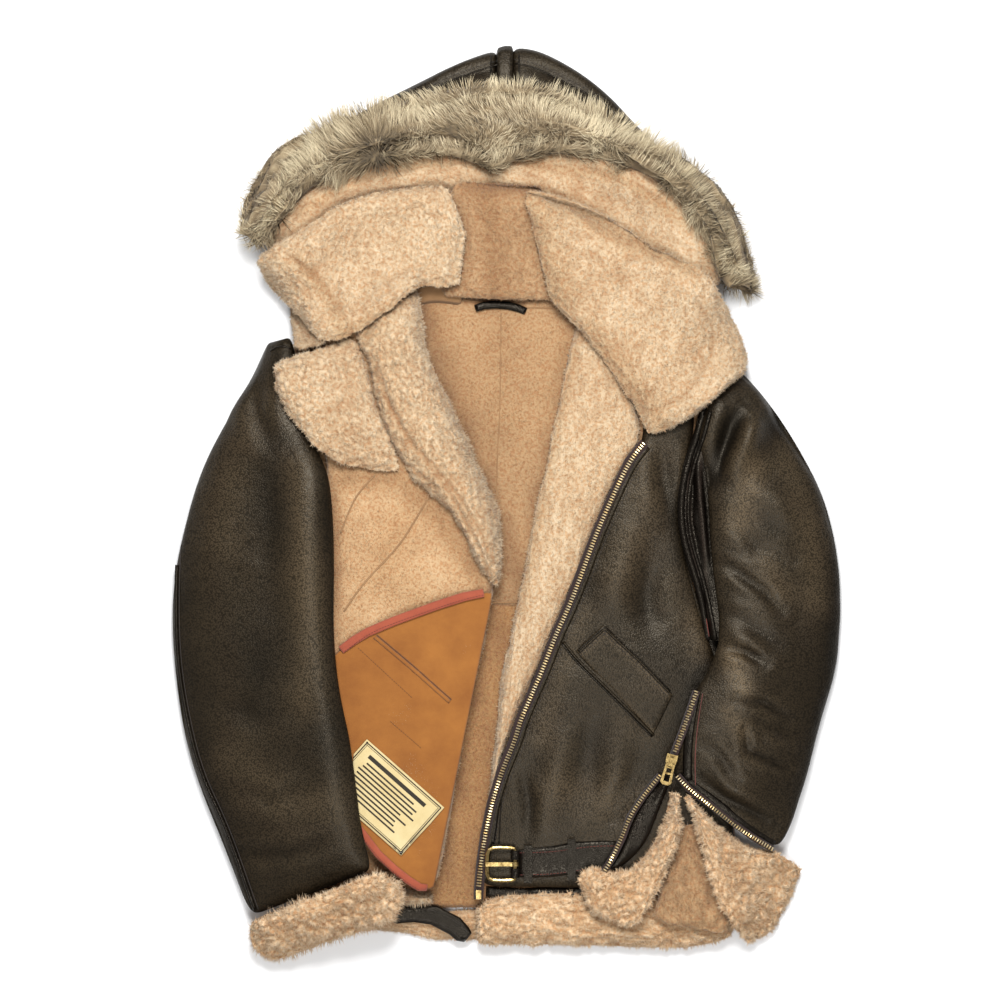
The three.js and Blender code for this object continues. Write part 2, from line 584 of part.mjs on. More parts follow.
lay("underarm_gusset", "black", table(EDGES, [
  [197, 86, 198.5, 86], [193, 69, 195.5, 66], [183, 43, 199, 40], [177, 10, 204, 13], [177, -16, 204, -18],
  [182, -43, 206, -48], [191, -71, 210, -80], [199, -95, 214, -108], [206, -130, 214, -132]
]), { thick: 8, across: 4, edge: 0.7, reach: 6, push: 1, sink: 3 });
settle();

// Left cuff: the pile turned out over the sleeve's end, an under and a top part.
const LEFT_CUFF = table("ax ay bx by lowA lowB", [
  [-254, -410, -129, -362, 2, 38], [-257, -424, -108, -366, 2, 38], [-256, -438, -96, -378, 2, 38],
  [-248, -449, -97, -396, 2, 38], [-230, -458, -112, -414, 2, 38]
]);
lay("cuff_left_under", "pile", LEFT_CUFF, { thick: 14, across: 9, edge: 0.6, relax: 7, reach: 10, push: 4 });
settle();
lay("cuff_left_top", "pile", LEFT_CUFF, {
  thick: 22, across: 9, edge: 0.5, relax: 2, reach: 6, gap: SLOT, push: 5, sink: 3
});

// Right cuff, unzipped: its pile opened out on both sides of the two zip branches.
lay("cuff_right_back", "lining", table(EDGES, [
  [172, -316, 196, -316], [166, -338, 206, -338], [160, -360, 216, -360], [154, -382, 224, -384],
  [148, -402, 224, -406], [150, -414, 222, -430]
]), { thick: 10, across: 5, edge: 0.7 });
settle();
lay("cuff_gusset", "black", table(EDGES, [
  [159, -266, 166, -271], [151, -275, 165, -279], [139, -292, 157, -298], [128, -312, 150, -316],
  [121, -331, 143, -334], [112, -350, 130, -350], [102, -362, 117, -361]
]), { thick: 6, across: 4, edge: 0.8, reach: 8 });
lay("cuff_flap_left", "pile", table(EDGES, [
  [167, -283, 174, -283], [161, -298, 178, -304], [154, -316, 182, -325], [147, -333, 176, -341],
  [134, -350, 166, -362], [119, -364, 156, -384], [103, -364, 144, -404], [88, -355, 127, -426],
  [75, -362, 102, -413], [68, -373, 82, -399]
]), { thick: LONG_PILE, across: 6, edge: 0.6 });
lay("cuff_flap_right", "pile", table(EDGES, [
  [177, -285, 183, -288], [181, -303, 198, -303], [188, -330, 224, -325], [195, -350, 248, -342],
  [201, -370, 274, -342], [208, -393, 302, -358], [220, -412, 297, -376], [232, -431, 285, -401],
  [243, -442, 268, -428]
]), { thick: LONG_PILE, across: 6, edge: 0.6, sink: 3 });
settle();
const CUFF_TAPE = { thick: TAPE_THICK, across: 3, reach: 6, edge: 0.9, sink: 5 };
lay("cuff_tape_closed", "tape", strip(table("x y", [
  [191, -184], [184, -205], [177, -225], [170, -243], [167, -252]
]), 8), CUFF_TAPE);
lay("cuff_tape_left", "tape", strip(table("x y", [
  [155, -268], [138, -290], [125, -310], [118, -330], [108, -350], [99, -363]
]), 7), CUFF_TAPE);
lay("cuff_tape_right", "tape", strip(table("x y", [
  [172, -268], [183, -281], [204, -297], [226, -315], [247, -330], [267, -342]
]), 7), CUFF_TAPE);
settle();

// Slider of the cuff zip, and its pull tab with two windows that hangs in the slider's bridge.
const ZIP = { x: 165.5, y: -254, turn: -0.26, body: 4, rung: 0.8, room: 0.5 };
const slideZ = heightAt(ZIP.x, ZIP.y, 7) + GAP;
const wide = plate([[-5.5, 7], [5.5, 7], [5.5, 1], [4, -7], [-4, -7], [-5.5, 1]], ZIP.body);
const archTop = ZIP.body + 2 * (ZIP.rung + ZIP.room) + 1.4;
const arch = plate([
  [-6, ZIP.body - 1], [5, ZIP.body - 1], [5, archTop - 1], [3.6, archTop], [-4.6, archTop], [-6, archTop - 1]
], 3.2, [box(-4.4, ZIP.body, 3.4, archTop - 1.4)]);
arch.rotateX(Math.PI / 2);
arch.rotateZ(Math.PI / 2);
arch.translate(-1.6, 0, 0);
const hang = (geometry, z) => {
  geometry.rotateZ(ZIP.turn);
  geometry.translate(ZIP.x, ZIP.y, z);
  return geometry;
};
add("zip_slider", "brass", hang(join(wide, arch), slideZ));
const rungY = -ZIP.rung - 2.4;
const tab = plate([
  [-4.6, rungY + 0.8], [4.6, rungY + 0.8], [5, rungY - 9], [5.6, rungY - 18], [3, rungY - 20.5],
  [-3, rungY - 20.5], [-5.6, rungY - 18], [-5, rungY - 9]
], 2 * ZIP.rung, [box(-2.6, rungY - 8.2, 2.6, rungY - 0.8), box(-2.8, rungY - 17, 2.8, rungY - 10)]);
tab.translate(0, 0, -ZIP.rung);
add("zip_pull", "brass", hang(tab, slideZ + ZIP.body + ZIP.room + ZIP.rung));
settle();

// Lapel of the folded front, then the collar leaves over it.
lay("lapel", "pile", table(EDGES, [
  [-150, 170, -86, 222], [-143, 156, -80, 195], [-134, 136, -79, 168], [-128, 112, -74, 145],
  [-122, 90, -62, 121], [-115, 72, -51, 98], [-106, 52, -39, 73], [-97, 34, -27, 42],
  [-87, 25, -15, 18], [-73, 13, -5, -7], [-57, 0, -1, -30], [-44, -19, -1, -52],
  [-32, -42, -4, -70], [-19, -66, -7, -82]
]), { thick: LONG_PILE, across: 7, edge: 0.5, reach: 10 });
lay("lapel_tip", "pile", table(EDGES, [
  [-226, 137, -226, 120], [-218, 144, -219, 100], [-204, 150, -209, 84], [-190, 154, -195, 67],
  [-176, 158, -180, 52], [-163, 162, -160, 41], [-152, 167, -134, 33], [-146, 157, -100, 29]
]), { thick: LONG_PILE, across: 7, edge: 0.5, reach: 10 });
settle();
lay("collar_stand", "pile", table(EDGES, [
  [-219, 206, -170, 206], [-214, 182, -168, 186], [-209, 152, -172, 160]
]), { thick: 12, across: 4, edge: 0.6, sink: 7 });
lay("collar_back", "pile", table(EDGES, [
  [-52, 322, 42, 322], [-52, 300, 46, 300], [-54, 270, 52, 270], [-58, 240, 56, 240], [-62, 218, 56, 214],
  [-60, 208, 50, 205]
]), { thick: 15, across: 7, edge: 0.7 });
settle();
lay("collar_left", "pile", table(EDGES, [
  [-246, 243, -234, 217], [-229, 258, -214, 200], [-206, 271, -199, 182], [-181, 289, -187, 161],
  [-161, 303, -169, 160], [-139, 310, -150, 167], [-115, 315, -131, 179], [-94, 318, -115, 190],
  [-76, 320, -98, 204], [-58, 321, -82, 217], [-49, 305, -62, 213], [-40, 268, -42, 216]
]), { thick: 20, across: 7, edge: 0.5, relax: 5 });
lay("collar_right", "pile", table(EDGES, [
  [16, 319, 44, 205], [41, 315, 56, 193], [68, 308, 69, 178], [96, 297, 83, 160], [122, 280, 96, 144],
  [146, 262, 108, 128], [168, 251, 119, 112], [186, 242, 128, 98], [199, 233, 134, 86],
  [211, 217, 138, 74], [221, 200, 144, 67], [234, 177, 157, 71], [243, 155, 172, 78],
  [243, 140, 191, 92], [236, 129, 208, 107]
]), { thick: 20, across: 8, edge: 0.5, relax: 5 });
lay("hood_fur", "fur", table(EDGES, [
  [-258, 256, -247, 251], [-255, 299, -226, 264], [-242, 324, -206, 288], [-226, 349, -192, 306],
  [-209, 367, -170, 319], [-181, 382, -150, 325], [-148, 395, -129, 329], [-122, 401, -113, 335],
  [-93, 410, -82, 341], [-65, 417, -57, 341], [-32, 422, -34, 335], [-4, 425, -14, 318],
  [26, 423, 14, 336], [56, 417, 46, 343], [96, 397, 86, 341], [128, 378, 118, 329],
  [155, 360, 146, 320], [182, 348, 168, 299], [213, 322, 187, 276], [231, 280, 201, 251],
  [245, 224, 208, 222], [238, 209, 219, 208]
]), { thick: 42, across: 7, edge: 0.35, push: 7 });
settle();

export default coat;
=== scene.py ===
import json
import math
import bmesh
import bpy
import numpy as np
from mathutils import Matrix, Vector
from mathutils.bvhtree import BVHTree

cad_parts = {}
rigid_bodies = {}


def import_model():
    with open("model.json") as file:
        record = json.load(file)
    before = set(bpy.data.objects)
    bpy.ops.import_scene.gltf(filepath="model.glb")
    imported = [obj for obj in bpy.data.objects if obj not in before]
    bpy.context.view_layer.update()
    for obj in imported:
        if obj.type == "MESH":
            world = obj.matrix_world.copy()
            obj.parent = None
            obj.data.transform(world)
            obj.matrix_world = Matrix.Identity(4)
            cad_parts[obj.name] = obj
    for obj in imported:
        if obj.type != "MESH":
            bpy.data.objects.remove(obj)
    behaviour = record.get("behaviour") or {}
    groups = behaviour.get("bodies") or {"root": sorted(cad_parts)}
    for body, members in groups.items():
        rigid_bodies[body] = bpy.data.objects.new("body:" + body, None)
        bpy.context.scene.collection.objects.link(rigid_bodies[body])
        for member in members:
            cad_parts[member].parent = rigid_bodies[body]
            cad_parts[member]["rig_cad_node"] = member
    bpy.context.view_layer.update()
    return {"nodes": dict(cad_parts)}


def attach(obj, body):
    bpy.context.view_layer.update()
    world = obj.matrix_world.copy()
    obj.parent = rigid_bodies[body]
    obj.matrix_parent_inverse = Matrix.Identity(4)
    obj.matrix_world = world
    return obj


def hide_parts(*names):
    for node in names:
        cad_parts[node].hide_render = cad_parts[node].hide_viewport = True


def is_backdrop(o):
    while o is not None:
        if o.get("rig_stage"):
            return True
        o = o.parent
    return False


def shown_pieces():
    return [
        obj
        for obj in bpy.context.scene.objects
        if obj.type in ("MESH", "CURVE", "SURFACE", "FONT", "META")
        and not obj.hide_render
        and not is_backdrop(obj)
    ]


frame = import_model()
MM = 0.001

# Camera straight above, then lights and floor.
camera = bpy.data.objects.new("camera", bpy.data.cameras.new("camera"))
bpy.context.scene.collection.objects.link(camera)
camera.location = (-0.004, 0.005, 5.0)
camera.data.lens = 180
camera.data.sensor_width = 36
camera.data.clip_end = 20
bpy.context.scene.camera = camera
bpy.context.scene.view_settings.view_transform = "Standard"


def photo(*points):
    """Points read off the photograph, 1 px to 1 mm, as millimetres in the row frame."""
    return [(x - 504.0, 505.0 - y) for x, y in points]


def rgb(r, g, b):
    """A screen colour as linear light."""
    return tuple(((c / 255 + 0.055) / 1.055) ** 2.4 if c > 10 else c / 3294.6 for c in (r, g, b))


# ---- noise on points in millimetres ----
def lattice(cell, seed):
    n = cell[..., 0] * 73856093 ^ cell[..., 1] * 19349663 ^ cell[..., 2] * 83492791 ^ seed * 2654435
    n = (n ^ (n >> 13)) * 1274126177 & 0x7FFFFFFF
    return ((n ^ (n >> 15)) & 0xFFFF) / 65535.0


def noise(p, size, seed=0):
    """Smooth noise from -1 to 1, with features about size millimetres across."""
    q = np.asarray(p, float) / size
    base = np.floor(q).astype(np.int64)
    t = q - base
    t = t * t * (3 - 2 * t)
    total = np.zeros(len(q))
    for dx in (0, 1):
        for dy in (0, 1):
            for dz in (0, 1):
                w = np.abs(1 - dx - t[:, 0]) * np.abs(1 - dy - t[:, 1]) * np.abs(1 - dz - t[:, 2])
                total += w * lattice(base + np.array([dx, dy, dz]), seed)
    return total * 2 - 1


def cells(p, size, seed=0):
    """Distance to the edge between neighbouring cells, from 0 on the edge to about 1, and the cell's own number."""
    q = np.asarray(p, float) / size
    base = np.floor(q).astype(np.int64)
    near = np.full(len(q), 9.0)
    second = np.full(len(q), 9.0)
    own = np.zeros(len(q))
    for dx in (-1, 0, 1):
        for dy in (-1, 0, 1):
            for dz in (-1, 0, 1):
                cell = base + np.array([dx, dy, dz])
                spot = cell + np.stack([lattice(cell, seed + k) for k in (1, 2, 3)], 1)
                d = np.linalg.norm(spot - q, axis=1)
                closer = d < near
                second = np.where(closer, near, np.minimum(second, d))
                own = np.where(closer, lattice(cell, seed + 4), own)
                near = np.where(closer, d, near)
    return second - near, own


def smooth(x, low, high):
    t = np.clip((x - low) / (high - low), 0, 1)
    return t * t * (3 - 2 * t)


def off_line(p, line):
    """Distance in plan from points to a line of points, and the share along it."""
    best = np.full(len(p), 1e9)
    share = np.zeros(len(p))
    line = np.array(line, float)
    spans = np.linalg.norm(np.diff(line, axis=0), axis=1)
    before = 0.0
    for a, b, span in zip(line[:-1], line[1:], spans):
        t = np.clip(((p[:, :2] - a) @ (b - a)) / span ** 2, 0, 1)
        d = np.linalg.norm(p[:, :2] - (a + t[:, None] * (b - a)), axis=1)
        share = np.where(d < best, (before + t * span) / spans.sum(), share)
        best = np.minimum(best, d)
        before += span
    return best, share


# ---- materials ----
class Nodes:
    """A short way to write a material's nodes."""

    def __init__(self, name):
        self.material = bpy.data.materials.new(name)
        self.material.use_nodes = True
        self.tree = self.material.node_tree
        self.shader = self.tree.nodes["Principled BSDF"]
        self.where = self.tree.nodes.new("ShaderNodeTexCoord").outputs["Object"]

    def node(self, kind, links=None, **values):
        made = self.tree.nodes.new("ShaderNode" + kind)
        for key, value in values.items():
            setattr(made, key, value)
        for key, value in (links or {}).items():
            if isinstance(value, bpy.types.NodeSocket):
                self.tree.links.new(value, made.inputs[key])
            else:
                made.inputs[key].default_value = value
        return made

    def noise(self, scale, detail=4, rough=0.6, where=None):
        links = {"Vector": where or self.where, "Scale": scale, "Detail": detail, "Roughness": rough}
        return self.node("TexNoise", links).outputs["Fac"]

    def cell(self, scale, feature="DISTANCE_TO_EDGE", where=None):
        links = {"Vector": where or self.where, "Scale": scale}
        return self.node("TexVoronoi", links, feature=feature).outputs["Distance"]

    def stretch(self, scale):
        return self.node("Mapping", {"Vector": self.where, "Scale": scale}).outputs["Vector"]

    def remap(self, value, a, b, c, d):
        links = {"Value": value, "From Min": a, "From Max": b, "To Min": c, "To Max": d}
        return self.node("MapRange", links).outputs["Result"]

    def math(self, kind, a, b):
        return self.node("Math", {0: a, 1: b}, operation=kind).outputs["Value"]

    def blend(self, factor, a, b, kind="MIX"):
        links = {0: factor, 6: a if not isinstance(a, tuple) else (*a, 1), 7: b if not isinstance(b, tuple) else (*b, 1)}
        return self.node("Mix", links, data_type="RGBA", blend_type=kind).outputs[2]

    def bump(self, height, distance, strength=1.0, normal=None):
        links = {"Height": height, "Distance": distance, "Strength": strength}
        if normal is not None:
            links["Normal"] = normal
        return self.node("Bump", links).outputs["Normal"]

    def set(self, **links):
        for key, value in links.items():
            socket = self.shader.inputs[key.replace("_", " ")]
            if isinstance(value, bpy.types.NodeSocket):
                self.tree.links.new(value, socket)
            else:
                socket.default_value = (*value, 1) if isinstance(value, tuple) else value
        return self.material


def leather(name, deep, mid, high, grain=640, creased=1.0, gloss=0.4, painted=False):
    m = Nodes(name)
    warp = m.node("VectorMath", {0: m.node("TexNoise", {"Vector": m.where, "Scale": 60}).outputs["Color"],
                                 1: (0.005, 0.005, 0.005), 2: m.where}, operation="MULTIPLY_ADD").outputs[0]
    pebble = m.remap(m.cell(grain, "F1", where=warp), 0.1, 0.7, 1, 0)
    wrinkle = m.noise(30, 3, 0.5, where=m.stretch((1.0, 1.6, 1.0)))
    patch = m.noise(9, 5, 0.6)
    fine = m.noise(900, 2)
    base = m.blend(m.remap(patch, 0.3, 0.7, 0, 1), mid, high)
    base = m.blend(m.remap(wrinkle, 0.33, 0.5, 0.15, 0), base, deep)
    base = m.blend(m.remap(pebble, 0, 0.6, 0.8, 0), base, deep)
    # The points' tone, which holds painted highlights and painted shade, multiplies the base colour.
    if painted:
        base = m.blend(1.0, base, m.node("Attribute", attribute_name="tone").outputs["Color"], "MULTIPLY")
    first = m.bump(wrinkle, 0.003 * creased, 0.5)
    second = m.bump(pebble, 0.0005, 0.36, first)
    normal = m.bump(fine, 0.0001, 0.15, second)
    rough = m.remap(m.math("ADD", patch, m.math("MULTIPLY", pebble, -0.25)), 0.1, 0.7, gloss + 0.1, gloss - 0.08)
    return m.set(Base_Color=base, Roughness=rough, Normal=normal, Specular_IOR_Level=0.23, Specular_Tint=(1.0, 0.88, 0.7))


def wool(name, scale, rough=0.95, bump=0.0016, sheen=0.3, pits=0.75):
    """Pile: the colour is painted on the points, and fine fibre noise breaks it up."""
    m = Nodes(name)
    paint = m.node("Attribute", attribute_name="tone").outputs["Color"]
    fibre = m.noise(scale * 2.2, 3, 0.7)
    nap = m.noise(scale * 0.62, 3, 0.55)
    base = m.blend(m.remap(nap, 0.36, 0.56, pits, 0.0), paint, rgb(222, 184, 144), "MULTIPLY")
    base = m.blend(m.remap(fibre, 0.35, 0.65, 0.0, 0.1), base, rgb(255, 240, 214), "SCREEN")
    return m.set(Base_Color=base, Roughness=rough, Sheen_Weight=sheen, Sheen_Roughness=0.5,
                 Specular_IOR_Level=0.15, Normal=m.bump(fibre, bump * 0.4, 0.5, m.bump(nap, bump, 1.0)))


def woven(name, one, two, threads, depth=0.00025, mottle=22):
    m = Nodes(name)
    over = m.node("TexWave", {"Vector": m.where, "Scale": threads, "Distortion": 1.2, "Detail": 2},
                  bands_direction="X").outputs["Fac"]
    across = m.node("TexWave", {"Vector": m.where, "Scale": threads, "Distortion": 1.2, "Detail": 2},
                    bands_direction="Y").outputs["Fac"]
    weave = m.math("MULTIPLY", over, across)
    patch = m.noise(mottle, 6, 0.65)
    base = m.blend(m.remap(patch, 0.32, 0.68, 0, 1), one, two)
    base = m.blend(m.remap(weave, 0, 0.6, 0.22, 0), base, tuple(c * 0.45 for c in two))
    crease = m.noise(14, 5, 0.6, where=m.stretch((1.0, 1.6, 1.0)))
    normal = m.bump(weave, depth, 0.6, m.bump(crease, 0.004, 0.35))
    return m.set(Base_Color=base, Roughness=m.remap(patch, 0, 1, 0.8, 0.92), Sheen_Weight=0.15, Normal=normal)


def metal(name, bright, dull):
    m = Nodes(name)
    worn = m.noise(240, 5, 0.6)
    scratch = m.noise(900, 2, 0.5, where=m.stretch((1.0, 0.12, 1.0)))
    base = m.blend(m.remap(worn, 0.38, 0.66, 0, 1), bright, dull)
    return m.set(Base_Color=base, Metallic=1.0, Roughness=m.remap(worn, 0.3, 0.7, 0.22, 0.42),
                 Normal=m.bump(scratch, 0.0001, 0.4))


BROWNS = (rgb(12, 9, 5), rgb(37, 30, 20), rgb(45, 37, 26))
BLACKS = (rgb(5, 4, 3), rgb(15, 12, 9), rgb(22, 17, 14))
BROWN = leather("leather_brown_grain", *BROWNS)
BLACK = leather("leather_black_grain", *BLACKS, grain=760, gloss=0.32)
# These two multiply in the painted tone: a random tone with painted highlights and painted shade.
BROWN_TONE_AND_PAINTED_LIGHT = leather("leather_brown_worn", *BROWNS, painted=True)
BLACK_TONE_AND_PAINTED_LIGHT = leather("leather_black_worn", *BLACKS, grain=760, gloss=0.32, painted=True)
PILE = wool("pile_long", 520)
CLIPPED = wool("pile_clipped", 620, bump=0.0015, pits=0.75)
RUFF = wool("ruff_hair", 1500, rough=0.6, bump=0.0001, sheen=0.1, pits=0.2)
CANVAS = woven("canvas_duck", rgb(168, 106, 38), rgb(142, 84, 26), 900)
BINDING = woven("binding_twill", rgb(180, 88, 60), rgb(152, 70, 46), 1200)
# A darker canvas: painted shadow beside the pen slot's fold, and the pocket's stitching.
CANVAS_SHADOW_AND_STITCHES = woven("canvas_shaded", rgb(112, 66, 22), rgb(92, 54, 18), 900)
LABEL = woven("label_cloth", rgb(226, 208, 158), rgb(208, 184, 128), 1500, 0.0001)
INK = woven("label_bars", rgb(38, 32, 22), rgb(54, 45, 32), 1500, 0.0001)
TAPE = woven("tape_herringbone", rgb(48, 24, 21), rgb(34, 18, 16), 1100)
THREAD = woven("thread_redbrown", rgb(120, 52, 38), rgb(90, 38, 30), 2500, 0.0001)
THREAD_DARK = woven("thread_dark", rgb(48, 38, 30), rgb(30, 24, 20), 2500, 0.0001)
BRASS = metal("brass_aged_worn", rgb(190, 164, 108), rgb(104, 84, 50))
GOLD = metal("brass_teeth", rgb(255, 238, 196), rgb(222, 188, 122))


# ---- meshes ----
def put(name, points, faces, material, body="coat"):
    """A mesh object from points in metres."""
    mesh = bpy.data.meshes.new(name)
    mesh.from_pydata([], [], [])
    mesh.vertices.add(len(points))
    mesh.vertices.foreach_set("co", np.asarray(points, np.float32).ravel())
    faces = [np.asarray(f, np.int32) for f in faces if len(f)]
    loops = np.concatenate([f.ravel() for f in faces])
    sizes = np.concatenate([np.full(len(f), f.shape[1], np.int32) for f in faces])
    mesh.loops.add(len(loops))
    mesh.loops.foreach_set("vertex_index", loops)
    mesh.polygons.add(len(sizes))
    mesh.polygons.foreach_set("loop_start", np.concatenate([[0], np.cumsum(sizes)[:-1]]).astype(np.int32))
    mesh.update(calc_edges=True)
    mesh.validate()
    mesh.polygons.foreach_set("use_smooth", np.ones(len(mesh.polygons), bool))
    mesh.materials.append(material)
    made = bpy.data.objects.new(name, mesh)
    bpy.context.scene.collection.objects.link(made)
    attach(made, body)
    return made


def paint(mesh, colours):
    tone = mesh.color_attributes.new("tone", "FLOAT_COLOR", "POINT")
    tone.data.foreach_set("color", np.concatenate([colours, np.ones((len(colours), 1))], 1).astype(np.float32).ravel())


def arrays(mesh):
    """Points in mm and their normals."""
    co = np.zeros(len(mesh.vertices) * 3, np.float32)
    mesh.vertices.foreach_get("co", co)
    no = np.zeros(len(mesh.vertices) * 3, np.float32)
    mesh.vertices.foreach_get("normal", no)
    return co.reshape(-1, 3).astype(float) / MM, no.reshape(-1, 3).astype(float)


def subdivided(node, levels, corners=False):
    """A copy of a CAD solid as quads, subdivided, with its corners kept or rounded."""
    mesh = frame["nodes"][node].data.copy()
    bm = bmesh.new()
    bm.from_mesh(mesh)
    bmesh.ops.remove_doubles(bm, verts=bm.verts, dist=2e-5)
    bmesh.ops.join_triangles(bm, faces=bm.faces, angle_face_threshold=0.9, angle_shape_threshold=3.1)
    bm.to_mesh(mesh)
    bm.free()
    holder = bpy.data.objects.new("holder", mesh)
    bpy.context.scene.collection.objects.link(holder)
    if levels:
        finer = holder.modifiers.new("subdivide", "SUBSURF")
        finer.levels = levels
        finer.subdivision_type = "SIMPLE" if corners else "CATMULL_CLARK"
    dg = bpy.context.evaluated_depsgraph_get()
    made = bpy.data.meshes.new_from_object(holder.evaluated_get(dg))
    bpy.data.objects.remove(holder)
    made.materials.clear()
    if corners:
        ends = np.zeros(len(made.edges) * 2, np.int32)
        made.edges.foreach_get("vertices", ends)
        a, b = ends.reshape(-1, 2).T
        co = np.zeros(len(made.vertices) * 3, np.float32)
        made.vertices.foreach_get("co", co)
        co = co.reshape(-1, 3)
        count = np.bincount(a, minlength=len(co)) + np.bincount(b, minlength=len(co))
        for _ in range(levels * 2):
            z = co[:, 2].astype(float)
            total = np.bincount(a, z[b], len(co)) + np.bincount(b, z[a], len(co))
            co[:, 2] = (z + total / count) / 2
        made.vertices.foreach_set("co", co.ravel())
        made.update()
    return made


DRESSED = {}


def dress(node, material, levels, shape=None, colour=None, corners=False):
    """A soft piece that stands for its CAD solid, on that solid's own form."""
    mesh = subdivided(node, levels, corners)
    made = bpy.data.objects.new(node + "_skin", mesh)
    bpy.context.scene.collection.objects.link(made)
    co, no = arrays(mesh)
    if shape is not None:
        co = shape(co, no)
        mesh.vertices.foreach_set("co", (co * MM).astype(np.float32).ravel())
        mesh.update()
    if colour is not None:
        paint(mesh, colour(co, no))
    mesh.polygons.foreach_set("use_smooth", np.ones(len(mesh.polygons), bool))
    mesh.materials.append(material)
    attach(made, "coat")
    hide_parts(node)
    DRESSED[node] = made
    return made


def creased(co, no, lines, ripple=0.5, seed=0, grow=0.0):
    """Troughs and ridges at listed places: points, width and depth in mm, plus a slight unevenness."""
    up = smooth(no[:, 2], -0.1, 0.5)
    lift = noise(co, 95, seed + 9) * ripple * 3.0 + noise(co, 48, seed) * ripple * 1.6 + noise(co, 22, seed + 5) * ripple * 0.5
    for line, width, depth in lines:
        d, along = off_line(co, line)
        taper = np.sin(np.pi * np.clip(along, 0.04, 0.96)) ** 0.6
        lift += depth * taper * np.exp(-(d / width) ** 2)
        lift -= 0.45 * depth * taper * np.exp(-((d - 2.0 * width) / width) ** 2)
    moved = co + no * (lift * up)[:, None]
    moved[:, :2] += no[:, :2] * (smooth(np.linalg.norm(no[:, :2], axis=1), 0.3, 0.8) * grow)[:, None]
    moved[:, 2] = np.maximum(moved[:, 2], 0.05)
    return moved


# Colours of the pile: in its cracks, in its body and at its tips; the darker crack colour is partly the pile's own
# roots and partly painted shade.
CREAM = [rgb(166, 130, 92), rgb(197, 172, 138), rgb(220, 201, 171)]
FLEECE = [rgb(186, 146, 102), rgb(222, 190, 150), rgb(240, 218, 184)]
RICH = [rgb(150, 112, 72), rgb(186, 151, 110), rgb(208, 178, 138)]
# The collar's cream pile in painted shade, for its recessed back.
CREAM_IN_SHADE = [rgb(128, 94, 58), rgb(162, 127, 88), rgb(184, 152, 114)]
TAN = [rgb(112, 80, 48), rgb(164, 129, 89), rgb(184, 148, 106)]
# The clipped lining in painted shade, for the lower back.
LINING_IN_SHADE = [rgb(106, 72, 36), rgb(154, 112, 64), rgb(174, 132, 80)]
GREY = [rgb(44, 34, 22), rgb(132, 112, 80), rgb(222, 208, 174)]


def ramp(colours, t):
    """A colour between the three of a pile, for t from 0 to 1."""
    a, b, c = (np.array(x) for x in colours)
    t = np.clip(t, 0, 1)[:, None]
    return np.where(t < 0.5, a + (b - a) * t * 2, b + (c - b) * (t * 2 - 1))


PILES = []


